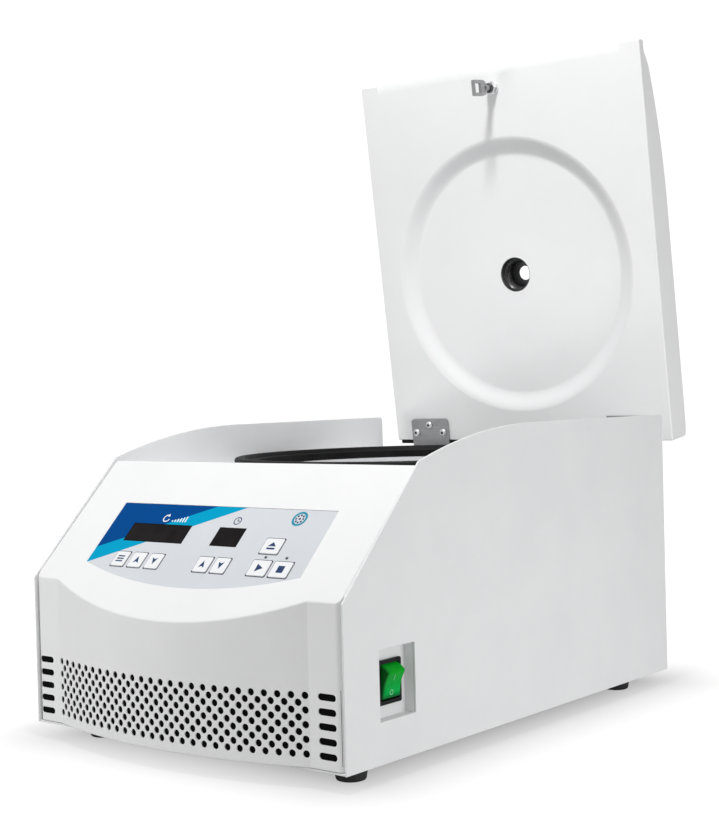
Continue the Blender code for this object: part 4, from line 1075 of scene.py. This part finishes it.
def make_power_switch():
    give(SHEET_PAINT, "switch_pocket")
    centre = (SWITCH_Y, SWITCH_Z)
    low = POCKET_FLOOR_X + 0.0003
    outline = rectangle(centre, SWITCH_WIDTH, SWITCH_HEIGHT, 0.0015)
    flange = round_edges(plate("switch_frame", [outline], low, low + 0.002, "X"), 0.0005)
    body = rectangle(centre, SWITCH_WIDTH - 0.0034, SWITCH_HEIGHT - 0.0035)
    carve(flange, plate("switch_body", [body], 0.126, low + 0.001, "X"), "UNION")
    well = rectangle(centre, ROCKER_WIDTH + 0.0008, 2 * ROCKER_RADIUS + 0.0008, 0.0005, 2)
    carve(flange, plate("switch_well", [well], 0.1345, 0.16, "X"))
    settle(flange, "base", BLACK_PLASTIC, "black", "switch_housing")
    back = arc((0.0, 0.0), ROCKER_RADIUS, ROCKER_CORNER, 105, 12)
    back += arc((0.0, 0.0), ROCKER_RADIUS, -105, -ROCKER_CORNER, 12)
    heights = [back[-1][1] * (1 - i / 8) for i in range(1, 16)]
    hollow = [(rocker_face(y), y) for y in heights]
    half = ROCKER_WIDTH / 2
    rocker = plate("rocker_cap", [back + hollow], -half, half, "Y")
    settle(round_edges(rocker, 0.0005, 3, 25), "rocker", GREEN, "rocker", "rocker")
    off_ring = ring((0.0, -0.0056), 0.0019, 0.0014, 24)
    marks = plate("rocker_marks", [*off_ring, rectangle((0.0, 0.0052), 0.0005, 0.0036)], 0.0, 0.00008)
    with editing(marks.data) as bm:
        for vertex in bm.verts:
            x, y, z = vertex.co
            vertex.co = (rocker_face(y) + z, x, y)
    settle(marks, "rocker", PALE_INK, "rocker")


# Chamber and rotor

def make_chamber():
    floor, wall, radius = BOWL_FLOOR, BOWL_WALL, CHAMBER_RADIUS
    corner = (radius - BOWL_CORNER, floor + BOWL_CORNER)
    profile = [(radius, BOWL_TOP)] + arc(corner, BOWL_CORNER, 0, -90, 12)
    profile += [(BOWL_HOLE, floor), (BOWL_HOLE, floor - wall)]
    profile += arc(corner, BOWL_CORNER + wall, -90, 0, 12) + [(radius + wall, BOWL_TOP - wall)]
    profile += [(BOWL_FLANGE, BOWL_TOP - wall), (BOWL_FLANGE, BOWL_TOP)]
    centre = (0.0, CHAMBER_Y, 0.0)
    bowl = turned("bowl", profile, 128, centre)
    settle(bowl, "base", BOWL_WHITE, "bowl", "chamber_bowl")
    top = GASKET_TOP
    lip = arc((GASKET_INNER + 0.0014, top - 0.0044), 0.0012, 180, 90, 4)
    crest = arc((GASKET_INNER + 0.0094, top - 0.0016), 0.0016, 150, 90, 4)
    shoulder = arc((GASKET_OUTER - 0.0026, top - 0.0026), 0.0026, 90, 0, 6)
    profile = [(GASKET_INNER, GASKET_FOOT)] + lip
    profile += [(GASKET_INNER + 0.0036, top - 0.0033), (GASKET_INNER + 0.0044, top - 0.0047)]
    profile += [(GASKET_INNER + 0.0062, top - 0.0047), (GASKET_INNER + 0.0070, top - 0.0030)]
    profile += crest + shoulder + [(GASKET_OUTER, GASKET_LEDGE)]
    profile += [(GASKET_FOOT_RADIUS, GASKET_LEDGE), (GASKET_FOOT_RADIUS, GASKET_FOOT)]
    settle(turned("seal", profile, 160, centre), "base", SEAL_RUBBER, "rubber", "lid_gasket")


def make_rotor():
    bore = SHAFT_RADIUS + 0.0004
    rim = ROTOR_RIM
    shoulder = rim - (ROTOR_TOP - ROTOR_RIM_TOP)
    profile = [(bore, 0.1500), (0.0215, 0.1500), (0.0245, ROTOR_TOP - 0.0006), (0.0251, ROTOR_TOP)]
    profile += [(shoulder - 0.0024, ROTOR_TOP), (shoulder - 0.0008, ROTOR_TOP - 0.0004)]
    profile += [(shoulder, ROTOR_TOP - 0.0012), (rim - 0.0004, 0.1106), (rim, 0.1090)]
    profile += [(rim + 0.0005, 0.0985), (rim, 0.0955), (rim - 0.003, 0.0942)]
    profile += [(0.099, 0.094), (0.053, 0.140), (0.026, 0.140), (0.022, ROTOR_BOTTOM), (bore, ROTOR_BOTTOM)]
    body = turned("rotor_body", profile, 128)
    depth = SOCKET_DEPTH + 0.014
    pin = rod("socket_pin", SOCKET_RADIUS, (0.0, 0.0, 0.014 - depth), (0.0, 0.0, 0.014), 40)
    turn = Matrix.Translation((SOCKET_MOUTH, 0.0, ROTOR_TOP)) @ Matrix.Rotation(math.radians(-45), 4, "Y")
    pin.data.transform(turn)
    start = math.pi / ROTOR_SOCKETS
    values = {"Count": ROTOR_SOCKETS, "Start": start, "Finish": ALUMINIUM}
    carve(body, copied("socket_pins", RING, pin, values))
    settle(body, "rotor", ALUMINIUM, "alu", "rotor")
    for i in range(ROTOR_SOCKETS):
        curve = bpy.data.curves.new(f"place_number_{i + 1}", "FONT")
        curve.body = str(i + 1)
        curve.size = 0.0062
        curve.align_x = "CENTER"
        curve.align_y = "CENTER"
        curve.extrude = 0.00005
        number = put_in_scene(curve.name, mesh_of(curve.name, curve))
        angle = 2 * math.pi * i / ROTOR_SOCKETS
        lift = Matrix.Translation((0.0310, 0.0, ROTOR_TOP + 0.00004)) @ Matrix.Rotation(math.pi / 2, 4, "Z")
        number.data.transform(Matrix.Rotation(angle + start, 4, "Z") @ lift)
        settle(number, "rotor", BLACK_PLASTIC, "alu")
    nut = [(0.0, 0.1612), (0.0044, 0.1612), (0.0044, 0.1503), (0.0158, 0.1503), (0.0165, 0.1510)]
    nut += [(0.0165, 0.1595), (0.0158, 0.1604), (0.0125, 0.1640), (0.0085, 0.1668), (0.0040, 0.1679)]
    nut.append((0.0, 0.1682))
    cap = turned("rotor_cap", nut, 72)
    flute = rod("flute", 0.0016, (0.0172, 0.0, 0.149), (0.0172, 0.0, 0.163), 16)
    carve(cap, copied("flutes", RING, flute, {"Count": 18, "Start": 0.0, "Finish": MOTOR_PAINT}))
    settle(cap, "rotor", MOTOR_PAINT, "dark", "rotor_nut")


# Lid

def lid_side():
    """The lid's side outline, shut, from the front lower corner over the top to the rear."""
    lip = LID_UNDERSIDE + LID_LIP
    crown = LID_REAR - LID_CROWN
    rise = LID_THICKNESS - LID_STEP_HEIGHT
    run = crown - LID_FRONT - LID_STEP_LENGTH
    radius = (run**2 + rise**2) / (2 * rise)
    start = 90 + math.degrees(math.asin(run / radius))
    top = LID_UNDERSIDE + LID_THICKNESS
    outline = [(LID_FRONT, LID_UNDERSIDE)]
    outline += arc((LID_FRONT + 0.0022, lip - 0.0022), 0.0022, 180, 90, 5)
    foot = LID_FRONT + LID_LIP_LENGTH
    outline += [(foot, lip + 0.0002), (foot + 0.0015, lip + 0.0007)]
    outline += arc((crown, top - radius), radius, start, 90, 40)
    outline += [(LID_REAR - 0.030, top), (LID_REAR - 0.010, top - 0.0004)]
    outline += arc((LID_REAR - 0.0040, top - 0.0052), 0.0040, 80, 0, 5)
    return outline + [(LID_REAR, LID_UNDERSIDE)]


def make_lid():
    half = LID_HALF_WIDTH
    shell = round_edges(plate("lid_shell", [lid_side()], -half, half, "X"), 0.0011, 3, 40)
    wall = DISH_OUTER - DISH_INNER
    edge = DISH_OUTER + CUT_MARGIN
    dish = [(0.0, -0.004), (edge, -0.004), (edge, -CUT_MARGIN)]
    for i in range(1, 17):
        t = i / 16
        dish.append((DISH_OUTER - wall * t, DISH_DEPTH * t * t * (3 - 2 * t)))
    dish.append((0.0, DISH_DEPTH))
    centre = (0.0, CHAMBER_Y, LID_UNDERSIDE)
    carve(shell, turned("dish_cutter", dish, 160, centre))
    mouth = LID_UNDERSIDE + DISH_DEPTH + VIEWPORT_MOUTH_DEPTH + CUT_MARGIN
    bottom = (0.0, CHAMBER_Y, 0.15)
    for name, radius, top in (("mouth", VIEWPORT_MOUTH, mouth), ("tube", VIEWPORT_RADIUS, 0.26)):
        carve(shell, rod(f"viewport_{name}", radius + CUT_MARGIN, bottom, (0.0, CHAMBER_Y, top), 72))
    front, low = LID_FRONT, LID_UNDERSIDE
    wedge = [(front - 0.002, low - 0.002), (front + 0.010, low - 0.002)]
    wedge += [(front + 0.009, low), (front - 0.002, low + 0.0024)]
    carve(shell, plate("grip_cutter", [wedge], -0.133, 0.133, "X"))
    settle(shell, "lid", LID_WHITE, "white_moulding", "lid_cover", "lid_liner")


def make_viewport():
    floor = DISH_DEPTH
    centre = (0.0, CHAMBER_Y, LID_UNDERSIDE)
    mouth, tube = VIEWPORT_MOUTH, VIEWPORT_RADIUS
    retainer = [(0.0066, 0.0261), (0.0066, 0.0252), (0.0070, 0.0248), (0.0108, 0.0248), (0.0112, 0.0236)]
    retainer += [(0.0116, 0.0233), (0.0120, 0.0234), (0.0122, 0.0238), (0.0122, 0.0261)]
    settle(turned("lens_retainer", retainer, 72, centre), "lid", MOTOR_PAINT, "black")
    profile = [(0.0123, 0.0262), (0.0124, 0.0170), (0.0127, 0.0166)]
    profile += [(0.0128, 0.0142), (0.0140, 0.0134), (0.0146, 0.0128), (0.0150, 0.0110)]
    profile.append((0.0155, floor + 0.0010))
    profile += [(mouth - 0.0005, floor + 0.0001), (mouth, floor + 0.0001)]
    profile += [(mouth, floor + VIEWPORT_MOUTH_DEPTH), (tube, floor + VIEWPORT_MOUTH_DEPTH)]
    profile += [(tube, 0.0284), (0.0112, 0.0284), (0.0112, 0.0262)]
    settle(turned("viewport_sleeve", profile, 72, centre), "lid", BUSH_BLACK, "black", "viewport_bush")
    lens = [(0.0, 0.0266), (0.0105, 0.0266), (0.0107, 0.0268), (0.0107, 0.0276), (0.0104, 0.0278)]
    lens.append((0.0, 0.0282))
    settle(turned("lens", lens, 48, centre), "lid", LENS, "lens", "viewport_lens")


def make_striker():
    y, low = STRIKER_Y, LID_UNDERSIDE
    tip = -STRIKER_REACH
    loop = [(-0.0068, tip), (0.0068, tip), (0.0072, tip + 0.001), (0.0072, tip + 0.0130)]
    loop += arc((0.0, tip + 0.0140), 0.0070, 8, 62, 8) + arc((0.0, tip + 0.0140), 0.0070, 118, 172, 8)
    loop += [(-0.0072, tip + 0.0130), (-0.0072, tip + 0.001)]
    loop = [(y + a, low + b) for a, b in loop]
    slot = rectangle((y, low + tip + 0.0066), 0.0084, 0.0092, 0.0003, 2)
    piece = round_edges(plate("striker_loop", [loop, slot], -0.0015, 0.0015, "X"), 0.0003, 2)
    stud = rod("striker_stud", 0.0029, (0.0, y, low + tip + 0.018), (0.0, y, low + 0.004), 32)
    carve(piece, stud, "UNION")
    settle(piece, "lid", ZINC, "zinc", "striker")
    washer = [(0.0032, -0.0003), (0.0060, -0.0003), (0.0062, -0.0005), (0.0062, -0.0016), (0.0060, -0.0018)]
    washer.append((0.0032, -0.0018))
    settle(turned("washer", washer, 48, (0.0, y, low)), "lid", NICKEL, "zinc", "striker_washer")
    hexagon = [circle((0.0, y), 0.0053, 6), circle((0.0, y), 0.0031, 24, 3.0)]
    nut = round_edges(plate("hex_nut", hexagon, low - 0.0056, low - 0.0021), 0.0004, 2, 40)
    settle(nut, "lid", NICKEL, "zinc", "striker_nut")
    collar = [(0.0030, -0.0057), (0.0042, -0.0057), (0.0045, -0.0062), (0.0045, -0.0072)]
    collar += arc((0.0031, -0.0072), 0.0014, 0, -80, 5) + [(0.0030, -0.0086)]
    settle(turned("stud_collar", collar, 40, (0.0, y, low)), "lid", BUSH_BLACK, "black")


def button_screw():
    """A round-headed screw with a hexagon socket, its head along -Z from the origin."""
    radius, height = SCREW_HEAD_RADIUS, SCREW_HEAD_HEIGHT
    profile = [(0.0, 0.0030), (0.0019, 0.0030), (0.0019, 0.0), (radius, 0.0)]
    for i in range(1, 7):
        angle = math.radians(15 * i)
        profile.append((radius * (0.42 + 0.58 * math.cos(angle)), -height * math.sin(angle)))
    profile.append((0.0, -height))
    head = turned("screw", profile, 32)
    carve(head, rod("hex_socket", radius * 0.42, (0.0, 0.0, -height - 0.001), (0.0, 0.0, -height * 0.25), 6))
    return head


def make_hinges():
    give(STEEL, "hinge_pin_left", "hinge_pin_right")
    screws = []
    names = []
    under = LID_UNDERSIDE - BRACKET_THICKNESS - 0.0006
    for side, sign in (("left", -1), ("right", 1)):
        refined(f"lid_bracket_{side}", "lid", ZINC, "zinc")
        refined(f"hinge_base_{side}", "base", ZINC, "zinc")
        for i, (across, up) in enumerate(SCREW_PLACES):
            screws.append((sign * HINGE_X + across, LID_REAR - up, under))
            names.append(f"bracket_screw_{side}_{i + 1}")
    heads = copied("bracket_screws", COPIES, button_screw(), {"Finish": NICKEL}, screws)
    settle(heads, "lid", NICKEL, "zinc", *names)
    # Painted shade: dark plugs deep in the screws' hex sockets make the sockets look dark
    bottom = rod("socket_bottom", 0.0016, (0.0, 0.0, -0.0010), (0.0, 0.0, -0.0003), 6)
    socket_shades = copied("socket_bottoms", COPIES, bottom, {"Finish": SEAL_RUBBER}, screws)
    settle(socket_shades, "lid", SEAL_RUBBER, "dark")
    edge = LID_REAR - BRACKET_REACH
    low = (HINGE_X - 0.0215, edge - 0.0013, LID_UNDERSIDE - 0.0014)
    high = (HINGE_X + 0.0215, edge + 0.0010, LID_UNDERSIDE - 0.0004)
    settle(rounded_box("bracket_shim", low, high, 0.0002), "lid", ZINC, "zinc")


# Feet, rear and inside

def make_feet():
    bottom, top = -FOOT_HEIGHT, -0.0003
    profile = [(0.0, top), (FOOT_TOP - 0.0008, top), (FOOT_TOP, top - 0.0008)]
    profile += [(FOOT_BOTTOM + 0.0002, bottom + 0.0014), (FOOT_BOTTOM - 0.0004, bottom + 0.0004)]
    profile += [(FOOT_BOTTOM - 0.0014, bottom), (0.0055, bottom)]
    profile += [(0.0050, bottom + 0.002), (0.0, bottom + 0.002)]
    for name, (x, y) in FEET.items():
        foot = turned(f"rubber_{name}", profile, 48, (x, y, 0.0))
        settle(foot, "base", RUBBER, "rubber", name)


def make_rear():
    refined("rear_panel", "base", SHEET_PAINT, "white_sheet")
    refined("power_inlet", "base", BLACK_PLASTIC, "black", 0.0004)
    refined("top_deck", "base", MOULDED_WHITE, "white_moulding")
    refined("base_plate", "base", SHEET_PAINT, "white_sheet")
    # A black strip along the lid's rear edge, just under its underside
    near, far, low = LID_REAR - 0.0002, LID_REAR + 0.0034, LID_UNDERSIDE + 0.0003
    profile = [(near, low), (far - 0.0006, low), (far, low + 0.0006), (far, low + 0.0052)]
    profile += [(far - 0.0006, low + 0.0058), (near, low + 0.0058)]
    seal = plate("rear_seal", [profile], 0.0040 - LID_HALF_WIDTH, 0.1340, "X")
    settle(seal, "lid", SEAL_RUBBER, "rubber")


make_side_panels()
make_front()
make_control_panel()
make_power_switch()
make_chamber()
make_rotor()
make_lid()
make_viewport()
make_striker()
make_hinges()
make_feet()
make_rear()
give(MOTOR_PAINT, "motor")
give(RUBBER, "shaft_boot", *[name for name in NODES if name.startswith("vibration_mount")])
give(ZINC, "motor_mount_plate")
give(STEEL, "drive_shaft", "lock_bolt")
give(BLACK_PLASTIC, "lock_housing")
give(BOARD, "control_board", "drive_board")


# Room, light and camera

def floor_finish():
    """A white table, seen whiter than it lights but for a soft painted shadow under the machine."""
    made, tree, shader = new_finish("floor_white")
    place = object_place(tree)
    cloth = noise(tree, place, 3.0, 4.0, 0.5)
    table = blend_colours(tree, cloth, grey(0.50), grey(0.53))
    far = spread(tree, length_of(tree, place), TABLE_REACH, 2 * TABLE_REACH)
    lighting = blend_colours(tree, far, table, grey(FAR_TABLE))
    # Painted shadow: the table is seen darker near the machine's footprint
    past = {}
    for number, (part, half) in enumerate(zip(split(tree, place), SHADE_CORE)):
        outside = calculate(tree, "SUBTRACT", calculate(tree, "ABSOLUTE", part), half)
        past[number] = calculate(tree, "MAXIMUM", outside, 0.0)
    near = spread(tree, length_of(tree, combine(tree, past)), 0.0, SHADE_REACH, 1.0, 0.0)
    shade = calculate(tree, "MULTIPLY", near, near)
    bright = blend_colours(tree, shade, grey(1.0), grey(SHADE_DARKEST))
    seen = tree.nodes.new("ShaderNodeLightPath").outputs["Is Camera Ray"]
    feed(shader, {
        "Base Color": blend_colours(tree, seen, lighting, grey(FAR_TABLE)),
        "Emission Color": blend_colours(tree, seen, grey(0.0), bright),
        "Emission Strength": 1.0,
        "Roughness": 0.9,
        "Specular IOR Level": 0.0,
    })
    return made


def make_floor():
    mesh = bpy.data.meshes.new("floor")
    far = 30.0
    corners = [(-far, -far, 0.0), (far, -far, 0.0), (far, far, 0.0), (-far, far, 0.0)]
    mesh.from_pydata(corners, [], [(0, 1, 2, 3)])
    floor = put_in_scene("floor", mesh)
    mesh.materials.append(floor_finish())


def make_world():
    world = bpy.data.worlds.new("studio")
    world.use_nodes = True
    tree = world.node_tree
    tree.nodes.clear()
    white = (*grey(1.0), 1.0)
    seen = add_node(tree, "ShaderNodeBackground", {"Color": white, "Strength": BACKDROP})
    lit = add_node(tree, "ShaderNodeBackground", {"Color": white, "Strength": AMBIENT})
    path = tree.nodes.new("ShaderNodeLightPath").outputs
    looking = calculate(tree, "MAXIMUM", path["Is Camera Ray"], path["Is Transmission Ray"])
    mixed = add_node(tree, "ShaderNodeMixShader", {0: looking, 1: lit.outputs[0], 2: seen.outputs[0]})
    add_node(tree, "ShaderNodeOutputWorld", {0: mixed.outputs[0]})
    bpy.context.scene.world = world


def add_panel(name, place, aim, power, width):
    """A square light panel, turned to what it lights."""
    lamp = bpy.data.lights.new(name, "AREA")
    lamp.energy = power
    lamp.size = width
    made = put_in_scene(name, lamp)
    made.visible_camera = False
    made.location = place
    made.rotation_mode = "QUATERNION"
    made.rotation_quaternion = (Vector(aim) - Vector(place)).to_track_quat("-Z", "Y")


def make_camera():
    """The photograph's own view: turned about Z, lifted, and leaning a little."""
    turn, lift = CAMERA_TURN, CAMERA_LIFT
    back = Vector((math.sin(turn) * math.cos(lift), -math.cos(turn) * math.cos(lift), math.sin(lift)))
    right = Vector((math.cos(turn), math.sin(turn), 0.0))
    up = back.cross(right)
    leaning_right = right * math.cos(CAMERA_LEAN) + up * math.sin(CAMERA_LEAN)
    leaning_up = up * math.cos(CAMERA_LEAN) - right * math.sin(CAMERA_LEAN)
    camera = put_in_scene("camera", bpy.data.cameras.new("camera"))
    facing = Matrix((leaning_right, leaning_up, back)).transposed().to_4x4()
    camera.matrix_world = Matrix.Translation(CABINET @ Vector(CAMERA_PLACE)) @ facing
    camera.data.sensor_width = 36.0
    camera.data.lens = CAMERA_LENS
    camera.data.clip_start = 0.01
    camera.data.clip_end = 200.0
    bpy.context.scene.camera = camera


make_floor()
make_world()
for name, (place, aim, power, width) in PANELS.items():
    add_panel(name, place, aim, power, width)
make_camera()
bpy.context.scene.view_settings.view_transform = "Standard"
